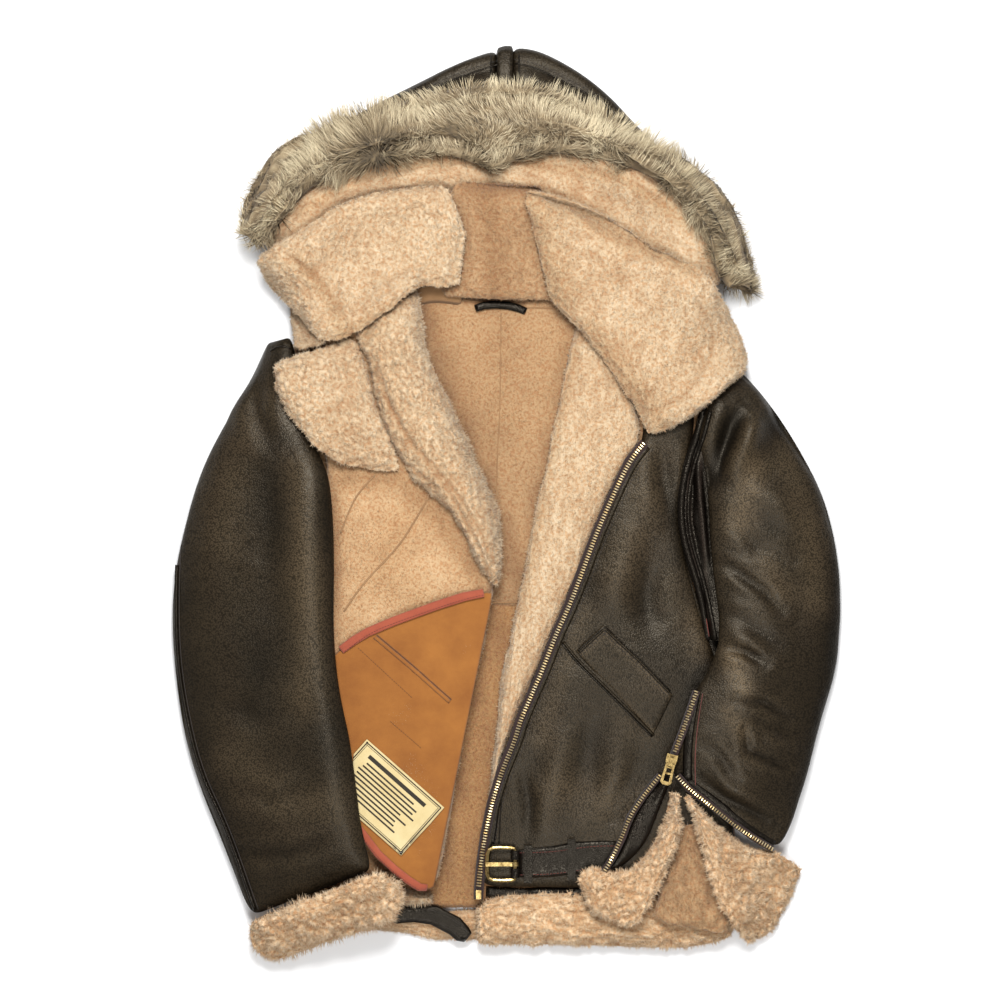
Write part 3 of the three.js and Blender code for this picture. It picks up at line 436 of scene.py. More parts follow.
class Pile:
    """One sheepskin: its lock size, hair length, lean and colours, and the seams in it."""

    def __init__(self, node, slot, levels, locks, length, colours, hairs, seed, draw=3.0, seams=(), lean=None,
                 material=None, wide=0.9, cracks=0.5, folds=(), grow=0.0, sway=0.4, corners=False,
                 shade=None):
        self.shade = shade
        self.node, self.slot, self.locks, self.length, self.colours = node, slot, locks, length, colours
        self.seed, self.seams, self.lean, self.wide, self.cracks = seed, seams, lean, wide, cracks
        self.draw, self.hairs, self.folds, self.grow = draw, hairs, folds, grow
        self.contrast = 2.0 if colours is GREY else 1.0
        self.material, self.sway = material or PILE, sway
        self.skin = dress(node, self.material, levels, self.shape, self.colour, corners)
        PILES.append(self)

    def warp(self, co):
        shift = np.stack([noise(co, self.locks * 1.6, self.seed + k) for k in (11, 12, 13)], 1)
        return co + shift * self.locks * 0.5

    def gap(self, co):
        """0 in the cracks and seams, 1 on the locks."""
        edge, own = cells(self.warp(co), self.locks, self.seed)
        open_ = 1 - self.cracks * (1 - smooth(edge, 0.0, 0.3))
        big, _ = cells(self.warp(co), self.locks * 3.1, self.seed + 40)
        where = smooth(noise(co, 70, self.seed + 8) + self.cracks - 0.5, -0.1, 0.5)
        open_ = np.minimum(open_, 1 - 0.75 * where * (1 - smooth(big, 0.0, 0.12)))
        for line in self.seams:
            d, _ = off_line(co, line)
            open_ = open_ * (0.3 + 0.7 * smooth(d + noise(co, 6, self.seed + 9) * 1.5, 0.3, 4.0))
        return open_, own

    def shape(self, co, no):
        up = smooth(no[:, 2], -0.35, 0.4)
        open_, own = self.gap(co)
        lift = -self.draw + 3.2 * (open_ - 0.8) + 0.9 * (own - 0.5)
        lift += noise(co, 34, self.seed + 3) * 2.2 + noise(co, 15, self.seed + 4) * 1.3 * max(self.cracks, 0.3)
        for line, width, depth in self.folds:
            d, along = off_line(co, line)
            taper = np.sin(np.pi * np.clip(along, 0.05, 0.95)) ** 0.6
            lift += depth * taper * np.exp(-(d / width) ** 2)
        side = smooth(np.linalg.norm(no[:, :2], axis=1), 0.3, 0.8)
        moved = co + no * (lift * np.maximum(up, side * 0.9))[:, None]
        moved[:, :2] += no[:, :2] * (side * self.grow)[:, None]
        moved[:, 2] = np.maximum(moved[:, 2], 0.05)
        return moved

    def colour(self, co, no):
        open_, own = self.gap(co)
        patch = noise(co, 38, self.seed + 6) * 0.14 + noise(co, 13, self.seed + 7) * 0.1
        # Darker where the pile parts: partly its own roots, partly painted shade in the cracks.
        return ramp(self.colours, -0.02 + 0.6 * open_ + patch + (own - 0.5) * 0.1)

    def hair(self):
        mesh = self.skin.data
        mesh.calc_loop_triangles()
        tri = np.zeros(len(mesh.loop_triangles) * 3, np.int32)
        mesh.loop_triangles.foreach_get("vertices", tri)
        tri = tri.reshape(-1, 3)
        co, no = arrays(mesh)
        a, b, c = (co[tri[:, k]] for k in range(3))
        cross = np.cross(b - a, c - a)
        area = np.linalg.norm(cross, axis=1) / 2
        facing = cross[:, 2] / np.maximum(area * 2, 1e-9)
        weight = area * smooth(facing, -0.75, -0.1)
        rng = np.random.default_rng(self.seed)
        middle = (a + b + c) / 3
        weight = weight * (covered(self.node)[spot(middle)] < middle[:, 2] + 1.2)
        pick = rng.choice(len(tri), self.hairs, p=weight / weight.sum())
        u, v = rng.random(self.hairs), rng.random(self.hairs)
        flip = u + v > 1
        u, v = np.where(flip, 1 - u, u), np.where(flip, 1 - v, v)
        w = 1 - u - v
        mixed = lambda f: f[tri[pick, 0]] * w[:, None] + f[tri[pick, 1]] * u[:, None] + f[tri[pick, 2]] * v[:, None]
        root, normal = mixed(co), mixed(no)
        normal /= np.linalg.norm(normal, axis=1)[:, None]
        open_, own = self.gap(root)
        # Tips lean with their lock and draw together.
        sway = np.stack([noise(root, self.locks * 2.2, self.seed + k) for k in (21, 22, 23)], 1)
        curl = np.stack([noise(root, self.locks * 0.7, self.seed + k) for k in (24, 25, 26)], 1)
        comb = self.lean(root) if self.lean else np.zeros_like(root)
        loose = rng.normal(size=root.shape)
        size = self.length * (0.5 + 0.5 * open_) * (0.9 + 0.2 * own) * rng.uniform(0.7, 1.15, self.hairs)
        if self.lean:
            size *= 1 - 0.3 * smooth(np.abs(root[:, 0] - 4), 170, 235)
            size *= 1 - 0.42 * (1 - smooth(np.abs(root[:, 0]), 60, 150)) * smooth(root[:, 1], 330, 372)
        aim = normal + sway * self.sway + curl * 0.3 + comb + loose * 0.2
        aim /= np.linalg.norm(aim, axis=1)[:, None]
        late = aim + comb * 0.5 + sway * self.sway * 0.6 + loose * 0.2
        late /= np.linalg.norm(late, axis=1)[:, None]
        foot = root - normal * 1.0
        mid = root + aim * (size * 0.5)[:, None]
        tip = mid + late * (size * 0.5)[:, None]
        side = np.cross(aim, loose)
        side *= np.where(np.sum(np.cross(side, aim) * (normal + [0, 0, 0.6]), 1) < 0, -1, 1)[:, None]
        side /= np.linalg.norm(side, axis=1)[:, None]
        half = (self.wide * rng.uniform(0.6, 1.2, self.hairs) / 2)[:, None]
        for p in (foot, mid, tip):
            p[:, 2] = np.maximum(p[:, 2], 0.3)
        if self.lean:
            points = np.stack([foot - side * half, foot + side * half, mid - side * half * 0.8,
                               mid + side * half * 0.8, tip], 1)
            steps = np.array([-0.16, -0.16, 0.02, 0.02, 0.16]) * self.contrast
            around = np.repeat(np.cross(side, aim)[:, None, :], 5, 1)
            faces = [np.array([[0, 1, 3, 2]]), np.array([[2, 3, 4]])]
        else:
            # Short wool: a slim three-sided spike, closed to the eye from every side.
            other = np.cross(aim, side)
            turns = [2 * math.pi * k / 3 for k in range(3)]
            out = np.stack([side * math.cos(a) + other * math.sin(a) for a in turns], 1)
            points = np.concatenate([foot[:, None, :] + out * half[:, None, :] * 1.15, tip[:, None, :]], 1)
            steps = np.array([-0.1, -0.1, -0.1, 0.16])
            around = np.concatenate([out, normal[:, None, :]], 1)
            faces = [np.array([[k, (k + 1) % 3, 3] for k in range(3)])]
        count = points.shape[1]
        start = np.arange(self.hairs)[:, None, None] * count
        faces = [(start + f[None]).reshape(-1, f.shape[1]) for f in faces]
        made = put(self.node + "_fibres", points.reshape(-1, 3) * MM, faces, self.material)
        # Hair darker at the root and in the cracks: partly its own colour, partly painted shade.
        patch = noise(root, 38, self.seed + 6) * 0.12 + noise(root, 13, self.seed + 7) * 0.07
        level = 0.34 + 0.34 * open_ + patch + (own - 0.5) * 0.14 + rng.normal(size=self.hairs) * (0.13 if self.lean else 0.03)
        if self.shade:
            level += self.shade(root, normal) * 1.25
        tone = ramp(self.colours, (level[:, None] + steps[None, :]).ravel())
        paint(made.data, tone)
        soft = (normal * 0.5 + aim * 0.15 + [0, 0, 0.55])[:, None, :] + around * 0.22
        soft = soft.reshape(-1, 3)
        soft /= np.linalg.norm(soft, axis=1)[:, None]
        made.data.normals_split_custom_set_from_vertices(soft.astype(np.float32))
        return made


# Seams and cracks read off the photograph.
LAPEL_SEAM = photo((356, 339), (369, 363), (371, 381), (378, 406), (386, 426), (399, 452), (406, 470))
LAPEL_SEAMS = [LAPEL_SEAM, photo((378, 372), (392, 410), (414, 446), (440, 478), (462, 512), (480, 548), (490, 576)),
               photo((388, 400), (402, 428), (430, 462), (458, 494), (478, 526), (492, 560)),
               photo((408, 464), (432, 484), (452, 512), (470, 545))]
COLLAR_LEFT_SEAM = photo((290, 257), (320, 280), (333, 298), (346, 318), (356, 339))
COLLAR_RIGHT_SEAM = photo((642, 411), (659, 411), (685, 394), (710, 356), (712, 329), (694, 302))
BACK_CENTRE_SEAM = photo((501, 314), (500, 419), (497, 454), (497, 490), (487, 600))
BACK_CROSS_SEAM = photo((470, 603), (516, 602), (540, 602))
NECK_SEAM = photo((425, 291), (463, 295), (472, 306), (521, 306), (555, 304))
FRONT_SEAMS = [photo((430, 496), (413, 525), (398, 548), (363, 584), (345, 611)),
               photo((375, 476), (355, 498), (342, 533))]

FACING_EDGE = photo((462, 182), (500, 180), (540, 188), (585, 210), (635, 243), (682, 264))
FACING_EDGE_LEFT = photo((300, 232), (330, 205), (372, 188), (420, 180), (462, 182))
Pile("back_upper", "lining", 2, 6, 2.5, TAN, 6000, 31, draw=0.6, material=CLIPPED, cracks=0.1, grow=6, corners=True)
Pile("back_lower", "lining", 2, 6, 2.5, LINING_IN_SHADE, 4500, 32, draw=0.6, material=CLIPPED, cracks=0.1, grow=2, corners=True)
Pile("collar_back", "pile_cream", 3, 7, 2.5, CREAM_IN_SHADE, 4500, 33, draw=1.5, cracks=0.3, folds=[(FACING_EDGE, 14, -9)], grow=4)
Pile("hood_facing", "pile_cream", 2, 7, 3, CREAM, 9000, 34, draw=1.5, cracks=0.5,
     folds=[(FACING_EDGE, 10, 6), (FACING_EDGE_LEFT, 10, 5)])
Pile("wind_flap", "pile_cream", 2, 6, 3, CREAM, 11500, 35, draw=1.8, cracks=0.5)
Pile("front_left_hem", "pile_cream", 3, 10, 4.6, FLEECE, 8000, 36, draw=2.2, cracks=1.0)
Pile("front_right", "pile_cream", 2, 7, 2.6, RICH, 10000, 37, draw=1.0, cracks=0.15, material=CLIPPED)
Pile("back_hem", "pile_cream", 2, 9, 3.5, FLEECE, 3000, 50, draw=1.5, cracks=0.7)
Pile("front_right_hem", "pile_cream", 2, 8, 6, CREAM, 500, 38, draw=2)
Pile("lapel", "pile_cream", 3, 8, 3.8, CREAM, 14500, 39, draw=0.8, cracks=0.6, seams=LAPEL_SEAMS, grow=2.5)
Pile("lapel_tip", "pile_cream", 3, 8, 3.2, CREAM, 8000, 40, draw=0.8, cracks=0.6, seams=[LAPEL_SEAM], grow=2.5)
Pile("collar_stand", "pile_cream", 2, 8, 3, CREAM, 1200, 41, draw=1)
Pile("collar_left", "pile_cream", 3, 7, 3.2, CREAM, 13500, 42, draw=2.2, cracks=0.5, grow=2, seams=[COLLAR_LEFT_SEAM],
     folds=[(FACING_EDGE_LEFT, 10, -5)])
Pile("collar_right", "pile_cream", 2, 7, 3.2, CREAM, 17000, 43, draw=2.2, cracks=0.5, grow=2, seams=[COLLAR_RIGHT_SEAM],
     folds=[(FACING_EDGE, 12, -9)])
Pile("cuff_left_under", "pile_cream", 1, 9, 8, FLEECE, 1200, 44, draw=2)
Pile("cuff_left_top", "pile_cream", 3, 10, 4.6, FLEECE, 9500, 45, draw=2.2, cracks=1.0)
Pile("cuff_right_back", "lining", 2, 8, 5, TAN, 1500, 46, draw=1)
Pile("cuff_flap_left", "pile_cream", 3, 10, 4.6, FLEECE, 8000, 47, draw=2.2, cracks=1.0)
Pile("cuff_flap_right", "pile_cream", 3, 10, 4.6, FLEECE, 10000, 48, draw=2.2, cracks=1.0)


HOOD_MIDDLE = np.array([-10.0, 215.0])
WHORL = np.array(photo((378, 150))[0])


def outward(points):
    out = points[:, :2] - HOOD_MIDDLE
    return out / np.linalg.norm(out, axis=1)[:, None]


def swept(points):
    """Hair of the ruff sweeps away from the hood's opening, and round a whorl."""
    out = outward(points)
    swirl = noise(points, 26, 77)[:, None] * np.stack([-out[:, 1], out[:, 0]], 1)
    away = points[:, :2] - WHORL
    far = np.linalg.norm(away, axis=1)[:, None]
    near = np.exp(-(far / 42) ** 2)
    ends = smooth(np.abs(points[:, :1] - 4), 170, 235)
    flat = (out * (0.85 - 0.45 * ends) + swirl * 1.2) * (1 - near) + away / np.maximum(far, 1) * near * 0.7
    return np.concatenate([flat, np.full((len(points), 1), 0.1)], 1)


def ruff_shade(points, normal):
    """Pale at the outer side, dark by the opening, in the whorl and in patches."""
    far = np.linalg.norm(points[:, :2] - WHORL, axis=1)
    facing = np.sum(outward(points) * normal[:, :2], 1)
    return 0.15 * facing + 0.16 * noise(points, 30, 91) + 0.1 * noise(points, 12, 92) - 0.3 * np.exp(-(far / 22) ** 2)


Pile("hood_fur", "hood_fur_grey", 2, 11, 26, GREY, 33000, 49, draw=16, lean=swept, shade=ruff_shade, material=RUFF,
     wide=0.7, cracks=0.7, sway=0.9)


def tone_and_painted_light(co, no, lines, painted_light_spots, seed):
    """Random tone of the leather with painted light: painted highlights on ridges and at listed places, painted shade
    in folds and on the sides.
    """
    level = 1.1 + 0.5 * noise(co, 80, seed + 51) + 0.2 * noise(co, 30, seed + 52)
    # Painted highlight along the ridges of the folds and painted shade in their troughs.
    for line, width, depth in lines:
        d, along = off_line(co, line)
        taper = np.sin(np.pi * np.clip(along, 0.04, 0.96)) ** 0.6
        level += 0.16 * depth * taper * np.exp(-(d / (width * 0.8)) ** 2)
        level -= 0.12 * depth * taper * np.exp(-((d - 1.9 * width) / width) ** 2)
    # Painted highlights where amounts are positive, painted shade where they are negative, at listed places.
    for line, width, amount in painted_light_spots:
        d, _ = off_line(co, line)
        level += amount * np.exp(-(d / width) ** 2)
    # Painted shade on the sides that turn away from the light above.
    level = np.clip(level, 0.3, 5.0) * (0.5 + 0.5 * smooth(no[:, 2], 0.3, 0.95))
    return np.stack([level, level * 1.0, level * 1.02], 1)


def plain(node, material, levels, lines=(), ripple=0.5, seed=0, corners=False, grow=0.0, painted_light_spots=()):
    return dress(node, material, levels, lambda co, no: creased(co, no, lines, ripple, seed, grow),
                 lambda co, no: tone_and_painted_light(co, no, lines, painted_light_spots, seed), corners=corners)


RIGHT_SLEEVE_FOLDS = [
    (photo((745, 407), (731, 428), (718, 456), (712, 480)), 9, -8.5),
    (photo((752, 400), (748, 430), (744, 460)), 14, 5.7),
    (photo((716, 560), (736, 572), (762, 590), (780, 610)), 5, -3.4),
    (photo((724, 646), (742, 650), (764, 662)), 5, -4.9),
    (photo((722, 612), (745, 622), (775, 640)), 7, -2.8),
    (photo((733, 698), (760, 701), (787, 716)), 4.5, -3.8),
    (photo((742, 728), (746, 748), (763, 757), (784, 767)), 4, -4.9),
    (photo((699, 777), (721, 795), (751, 810), (772, 822)), 6, -4.2),
    (photo((760, 730), (775, 742), (790, 745)), 6, 3.0),
    (photo((700, 742), (716, 752), (734, 776)), 5, -2.7),
    (photo((742, 486), (770, 500), (800, 530)), 12, 2.8),
    (photo((735, 520), (757, 548), (790, 560)), 7, -2.3),
]
LEFT_SLEEVE_FOLDS = [
    (photo((230, 420), (218, 500), (208, 560)), 26, 2.8),
    (photo((300, 470), (306, 560), (310, 640)), 16, 2.8),
    (photo((215, 700), (260, 715), (305, 705)), 10, -1.9),
    (photo((225, 780), (270, 795), (320, 780)), 8, -2.3),
    (photo((240, 850), (290, 850), (340, 830)), 7, -2.7),
    (photo((262, 380), (258, 410), (270, 440)), 9, -3.4),
]
FRONT_FOLDS = [
    (photo((660, 440), (664, 480), (672, 520)), 10, -3.4),
    (photo((640, 500), (622, 560), (600, 620)), 16, 3.0),
    (photo((650, 560), (646, 600), (655, 640)), 12, -2.8),
    (photo((600, 700), (588, 760), (596, 820)), 14, -3.0),
    (photo((560, 740), (548, 800), (545, 840)), 12, 2.7),
    (photo((640, 760), (620, 800), (610, 830)), 10, -2.7),
    (photo((520, 770), (530, 800), (528, 835)), 6, -2.3),
]
HOOD_FOLDS = [
    (photo((430, 92), (460, 78), (500, 70)), 6, -2.8),
    (photo((520, 66), (560, 80), (600, 105)), 6, -2.8),
]
WELT_LOWER = photo((563, 641), (576, 658), (600, 681), (628, 709), (653, 734))
WELT_UPPER = photo((579, 652), (604, 629), (636, 659), (668, 692))
# Painted light on the leather: painted highlights where amounts are positive, painted shade where negative; line, width
# in mm and amount.
FRONT_PAINTED_LIGHT = [
    (photo((655, 470), (640, 520), (618, 570)), 26, 1.1),
    (photo((585, 610), (560, 680), (540, 740)), 10, 1.2),
    (photo((690, 620), (700, 650)), 14, 1.5),
    (photo((560, 790), (600, 800)), 20, 1.05),
    (photo((600, 740), (640, 760)), 18, -0.4),
    (photo((712, 650), (690, 690), (668, 735), (650, 775)), 9, -0.8),
    (photo((675, 430), (672, 500), (678, 560)), 9, -0.5),
]
LEFT_SLEEVE_PAINTED_LIGHT = [
    (photo((300, 470), (308, 560), (312, 640), (305, 700)), 18, 1.72),
    (photo((262, 400), (240, 470), (232, 540)), 20, 0.94),
    (photo((236, 760), (290, 800), (330, 800)), 24, 1.09),
    (photo((186, 500), (182, 640), (205, 760), (240, 880)), 14, -0.56),
    (photo((262, 600), (256, 700)), 16, -0.32),
]
RIGHT_SLEEVE_PAINTED_LIGHT = [
    (photo((752, 470), (738, 520)), 16, 3.04),
    (photo((780, 450), (806, 520), (815, 600)), 16, 1.62),
    (photo((730, 655), (740, 685)), 11, 3.45),
    (photo((765, 560), (780, 590)), 14, 1.42),
    (photo((726, 710), (740, 730)), 9, 2.03),
    (photo((834, 560), (832, 680), (800, 800)), 11, -0.56),
]
plain("front_left", BROWN_TONE_AND_PAINTED_LIGHT, 3, FRONT_FOLDS, 0.8, 2, grow=1, painted_light_spots=FRONT_PAINTED_LIGHT)
plain("sleeve_left_top", BROWN_TONE_AND_PAINTED_LIGHT, 3, LEFT_SLEEVE_FOLDS, 0.8, 3, grow=2, painted_light_spots=LEFT_SLEEVE_PAINTED_LIGHT)
plain("sleeve_right_top", BROWN_TONE_AND_PAINTED_LIGHT, 3, RIGHT_SLEEVE_FOLDS, 1.0, 4, grow=3, painted_light_spots=RIGHT_SLEEVE_PAINTED_LIGHT)
plain("sleeve_left_under", BROWN_TONE_AND_PAINTED_LIGHT, 1, (), 0.8, 5)
plain("sleeve_right_under", BROWN_TONE_AND_PAINTED_LIGHT, 1, (), 0.8, 6)
plain("hood_left", BROWN_TONE_AND_PAINTED_LIGHT, 2, HOOD_FOLDS, 0.6, 7, grow=2)
plain("hood_gusset", BROWN_TONE_AND_PAINTED_LIGHT, 2, (), 0.2, 8, corners=True, grow=2)
plain("hood_right", BROWN_TONE_AND_PAINTED_LIGHT, 2, HOOD_FOLDS, 0.6, 9, grow=2)
# Painted highlights along the welt's edges.
plain("pocket_welt", BROWN_TONE_AND_PAINTED_LIGHT, 2, (), 0.3, 10, corners=True, painted_light_spots=[(WELT_UPPER, 5, 1.8), (WELT_LOWER, 4, 2.2)])
for seed, node in enumerate(["belt_tip", "hanger_loop", "belt_strap"]):
    plain(node, BLACK_TONE_AND_PAINTED_LIGHT, 2, (), 0.4, 20 + seed, corners=True)
plain("cuff_gusset", BLACK_TONE_AND_PAINTED_LIGHT, 2, (), 0.4, 24)
# The underarm gusset: creased, with painted highlights along its ridges.
plain("underarm_gusset", BLACK_TONE_AND_PAINTED_LIGHT, 3, [
    (photo((700, 430), (692, 470), (691, 520), (700, 570)), 3, -3),
    (photo((694, 450), (700, 500), (706, 560)), 2.5, 2.5),
], 0.6, 25, grow=5, painted_light_spots=[
    (photo((694, 440), (688, 480), (690, 530), (698, 590)), 1.8, 5.0),
    (photo((700, 450), (699, 500), (704, 560), (708, 620)), 1.5, 3.5),
])
plain("map_pocket", CANVAS, 2, [
    (photo((376, 636), (413, 667), (433, 685), (450, 700)), 2.2, 1.0),
    (photo((430, 660), (450, 640), (476, 622)), 9, 0.8),
    (photo((360, 700), (400, 740), (430, 770)), 12, -0.8),
], 0.4, 30, corners=True, grow=3)
plain("binding_top", BINDING, 2, (), 0.2, 31, corners=True)
plain("binding_bottom", BINDING, 2, (), 0.2, 32, corners=True)
plain("label", LABEL, 2, (), 0.2, 33, corners=True)
for node in ("zip_tape", "cuff_tape_closed", "cuff_tape_left", "cuff_tape_right"):
    plain(node, TAPE, 2, (), 0.1, 34, corners=True)

# Hard pieces keep their CAD solids.
for node in ("belt_keeper", "belt_loop", "buckle_fold_upper", "buckle_fold_lower"):
    frame["nodes"][node].data.materials.clear()
    frame["nodes"][node].data.materials.append(BLACK)
for node in ("buckle_frame", "buckle_prong", "zip_pin", "zip_slider", "zip_pull"):
    frame["nodes"][node].data.materials.clear()
    frame["nodes"][node].data.materials.append(BRASS)

GRID = 2.0
HALF = (360, 490)
TOPS = {}


def spot(co):
    """The cell of a 2 mm grid, seen from above, that each point is in."""
    return tuple(np.clip(((co[:, k] + HALF[k]) / GRID).astype(int), 0, HALF[k] - 1) for k in (0, 1))


for seed, (node, made) in enumerate(DRESSED.items()):
    co, _ = arrays(made.data)
    made.data.calc_loop_triangles()
    tri = np.zeros(len(made.data.loop_triangles) * 3, np.int32)
    made.data.loop_triangles.foreach_get("vertices", tri)
    a, b, c = (co[tri.reshape(-1, 3)[:, k]] for k in range(3))
    size = np.linalg.norm(np.cross(b - a, c - a), axis=1)
    rng = np.random.default_rng(seed)
    pick = rng.choice(len(size), int(size.sum() * 0.5), p=size / size.sum())
    u, v = rng.random((2, len(pick), 1))
    places = np.where(u + v > 1, a[pick] + (1 - u) * (b - a)[pick] + (1 - v) * (c - a)[pick],
                      a[pick] + u * (b - a)[pick] + v * (c - a)[pick])
    TOPS[node] = np.zeros(HALF)
    np.maximum.at(TOPS[node], spot(places), places[:, 2])


def shifted(values, least, cells_wide=1):
    """Each cell's least or greatest value among its neighbours."""
    for axis in (0, 1):
        near = [np.roll(values, k, axis) for k in range(-cells_wide, cells_wide + 1)]
        values = np.min(near, 0) if least else np.max(near, 0)
    return values


def covered(node):
    """The height of what other pieces hold over each cell, a little inside their edges."""
    others = np.max([top for name, top in TOPS.items() if name != node], 0)
    return shifted(shifted(others, False), True, 3)


for pile in PILES:
    pile.fibres = pile.hair()

# ---- seams, stitches, teeth: laid on the dressed pieces along lines read off the photograph ----
def drop_on(nodes):
    dg = bpy.context.evaluated_depsgraph_get()
    trees = [BVHTree.FromObject(DRESSED.get(n, frame["nodes"][n]), dg) for n in nodes]

    def drop(x, y):
        hits = [t.ray_cast(Vector((x * MM, y * MM, 0.3)), Vector((0, 0, -1))) for t in trees]
        hits = [h for h in hits if h[0] is not None]
        return max(hits, key=lambda h: h[0].z)[:2] if hits else None

    return drop


def walk(nodes, line, step, soft=2, side=0.0):
    """Points on the pieces along a line at an even step, with the way along and the way up."""
    line = np.array(line, float)
    for _ in range(soft):
        a, b = line[:-1], line[1:]
        mid = np.stack([a * 0.75 + b * 0.25, a * 0.25 + b * 0.75], 1).reshape(-1, 2)
        line = np.concatenate([line[:1], mid[1:-1], line[-1:]])
    run = np.concatenate([[0], np.cumsum(np.linalg.norm(np.diff(line, axis=0), axis=1))])
    at = np.linspace(0, run[-1], max(2, int(round(run[-1] / step)) + 1))
    flat = np.stack([np.interp(at, run, line[:, k]) for k in (0, 1)], 1)
    way = np.gradient(flat, axis=0)
    way /= np.linalg.norm(way, axis=1)[:, None]
    flat = flat + np.stack([-way[:, 1], way[:, 0]], 1) * side
    drop = drop_on(nodes)
    found = []
    for (x, y), (dx, dy) in zip(flat, way):
        hit = drop(x, y)
        if hit:
            up = np.array(hit[1])
            up = up if up[2] > 0 else -up
            up = up * 0.6 + np.array([0, 0, 0.4])
            up /= np.linalg.norm(up)
            along = np.array([dx, dy, 0.0])
            along -= up * (along @ up)
            found.append((np.array(hit[0]) / MM, along / np.linalg.norm(along), up))
    return found


def piping(name, nodes, line, radius, material, lift=0.0, flat=1.0, sides=6, side=0.0, step=4.0, soft=2):
    """A cord or strip sewn along a line."""
    track = walk(nodes, line, step, soft, side)
    height = np.array([p[2] for p, _, _ in track])
    for _ in range(2):
        height[1:-1] = (height[:-2] + 2 * height[1:-1] + height[2:]) / 4
    points = []
    for (p, along, up), z in zip(track, height):
        across = np.cross(up, along)
        centre = np.array([p[0], p[1], z]) + up * lift
        for k in range(sides):
            a = 2 * math.pi * k / sides
            points.append(centre + across * math.cos(a) * radius + up * math.sin(a) * radius * flat)
    n = len(track)
    quads = [[i * sides + k, i * sides + (k + 1) % sides, (i + 1) * sides + (k + 1) % sides, (i + 1) * sides + k]
             for i in range(n - 1) for k in range(sides)]
    first = len(points)
    points += [np.mean(points[:sides], 0), np.mean(points[(n - 1) * sides:n * sides], 0)]
    caps = [[first, (k + 1) % sides, k] for k in range(sides)]
    caps += [[first + 1, (n - 1) * sides + k, (n - 1) * sides + (k + 1) % sides] for k in range(sides)]
    return put(name, np.array(points) * MM, [np.array(quads), np.array(caps)], material)


BLOCK = np.array([(x * w, y * w, z) for z, w in ((-0.4, 1.0), (0.55, 1.0), (1.0, 0.62))
                  for x, y in ((-0.5, -0.5), (0.5, -0.5), (0.5, 0.5), (-0.5, 0.5))])
BLOCK_FACES = np.array([[0, 1, 5, 4], [1, 2, 6, 5], [2, 3, 7, 6], [3, 0, 4, 7], [4, 5, 9, 8], [5, 6, 10, 9],
                        [6, 7, 11, 10], [7, 4, 8, 11], [8, 9, 10, 11], [3, 2, 1, 0]])


def row(name, nodes, lines, pitch, size, material, lift=0.0, side=0.0, swing=0.0, soft=2):
    """Small blocks one after the other along lines: stitches, zip teeth or printed bars."""
    points, faces = [], []
    for line in lines:
        for k, (p, along, up) in enumerate(walk(nodes, line, pitch, soft=soft, side=side)):
            across = np.cross(up, along)
            centre = p + up * lift + across * (swing if k % 2 else -swing)
            faces.append(BLOCK_FACES + len(points) * 12)
            points.append(centre + BLOCK[:, :1] * along * size[0] + BLOCK[:, 1:2] * across * size[1]
                          + BLOCK[:, 2:] * up * size[2])
    made = put(name, np.concatenate(points) * MM, [np.concatenate(faces)], material)
    made.data.polygons.foreach_set("use_smooth", np.zeros(len(made.data.polygons), bool))
    return made


MAIN_ZIP = photo((643, 444), (629, 461), (611, 499), (595, 536), (583, 569), (569, 606), (556, 633), (544, 665),
                 (531, 695), (520, 720), (515, 739), (502, 769), (492, 801), (485, 834), (481, 863), (479, 884))
CUFF_CHAIN = photo((695, 690), (688, 710), (681, 730), (674, 749))
CUFF_LEFT = photo((659, 774), (642, 795), (629, 815), (622, 834), (612, 855), (604, 867))
CUFF_RIGHT = photo((676, 774), (687, 786), (708, 802), (730, 820), (751, 835), (770, 847))
row("main_zip_teeth", ["zip_tape"], [MAIN_ZIP], 2.8, (1.5, 4.8, 1.7), GOLD)
row("cuff_chain_teeth", ["cuff_tape_closed"], [CUFF_CHAIN], 2.6, (1.5, 4.4, 1.8), GOLD, swing=0.5)
row("cuff_left_teeth", ["cuff_tape_left"], [CUFF_LEFT], 2.8, (1.5, 4.0, 1.7), GOLD, lift=0.6)
row("cuff_right_teeth", ["cuff_tape_right"], [CUFF_RIGHT], 2.8, (1.5, 4.0, 1.7), GOLD, lift=0.8)
piping("cuff_edge_fold", ["sleeve_right_top", "cuff_tape_right", "cuff_flap_right"], CUFF_RIGHT, 4.5, BLACK,
       -0.4, 0.35, side=5.5)
# The zip's leather edge covers the outer half of its tape.
piping("zip_edge_fold", ["front_left", "zip_tape"], MAIN_ZIP, 3.2, BROWN, 0.3, 0.45, side=5.2)
row("zip_edge_stitches", ["front_left"], [MAIN_ZIP], 4.2, (2.8, 0.5, 0.35), THREAD_DARK, side=10.5)
piping("placket_strip", ["front_left"], photo((499, 782), (495, 812), (491, 842)), 4.2, BLACK, 0.0, 0.3)
piping("placket_seam", ["front_left"], photo((505, 772), (501, 800), (499, 842)), 0.7, BLACK, 0.2)
piping("welt_piping", ["front_left", "pocket_welt"], WELT_LOWER, 1.4, BROWN, 0.7)
piping("hem_join", ["front_left", "front_left_hem", "back_lower", "wind_flap"],
       photo((486, 891), (530, 893), (570, 891), (600, 893)), 6, BLACK, 0.2, 0.3)
piping("welt_shadow", ["front_left"], WELT_LOWER, 1.0, BLACK, 0.0, 0.5, side=-2.4)
piping("welt_edge", ["front_left", "pocket_welt"], WELT_UPPER, 1.2, BROWN, 0.6, side=0.6, step=2, soft=0)
piping("welt_mouth", ["front_left", "pocket_welt"], WELT_UPPER, 0.9, BLACK, 0.1, 0.5, side=2.4, step=2, soft=0)
row("welt_stitches", ["pocket_welt"], [WELT_UPPER], 3.6, (2.4, 0.6, 0.5), THREAD_DARK, side=-3.2, soft=0)
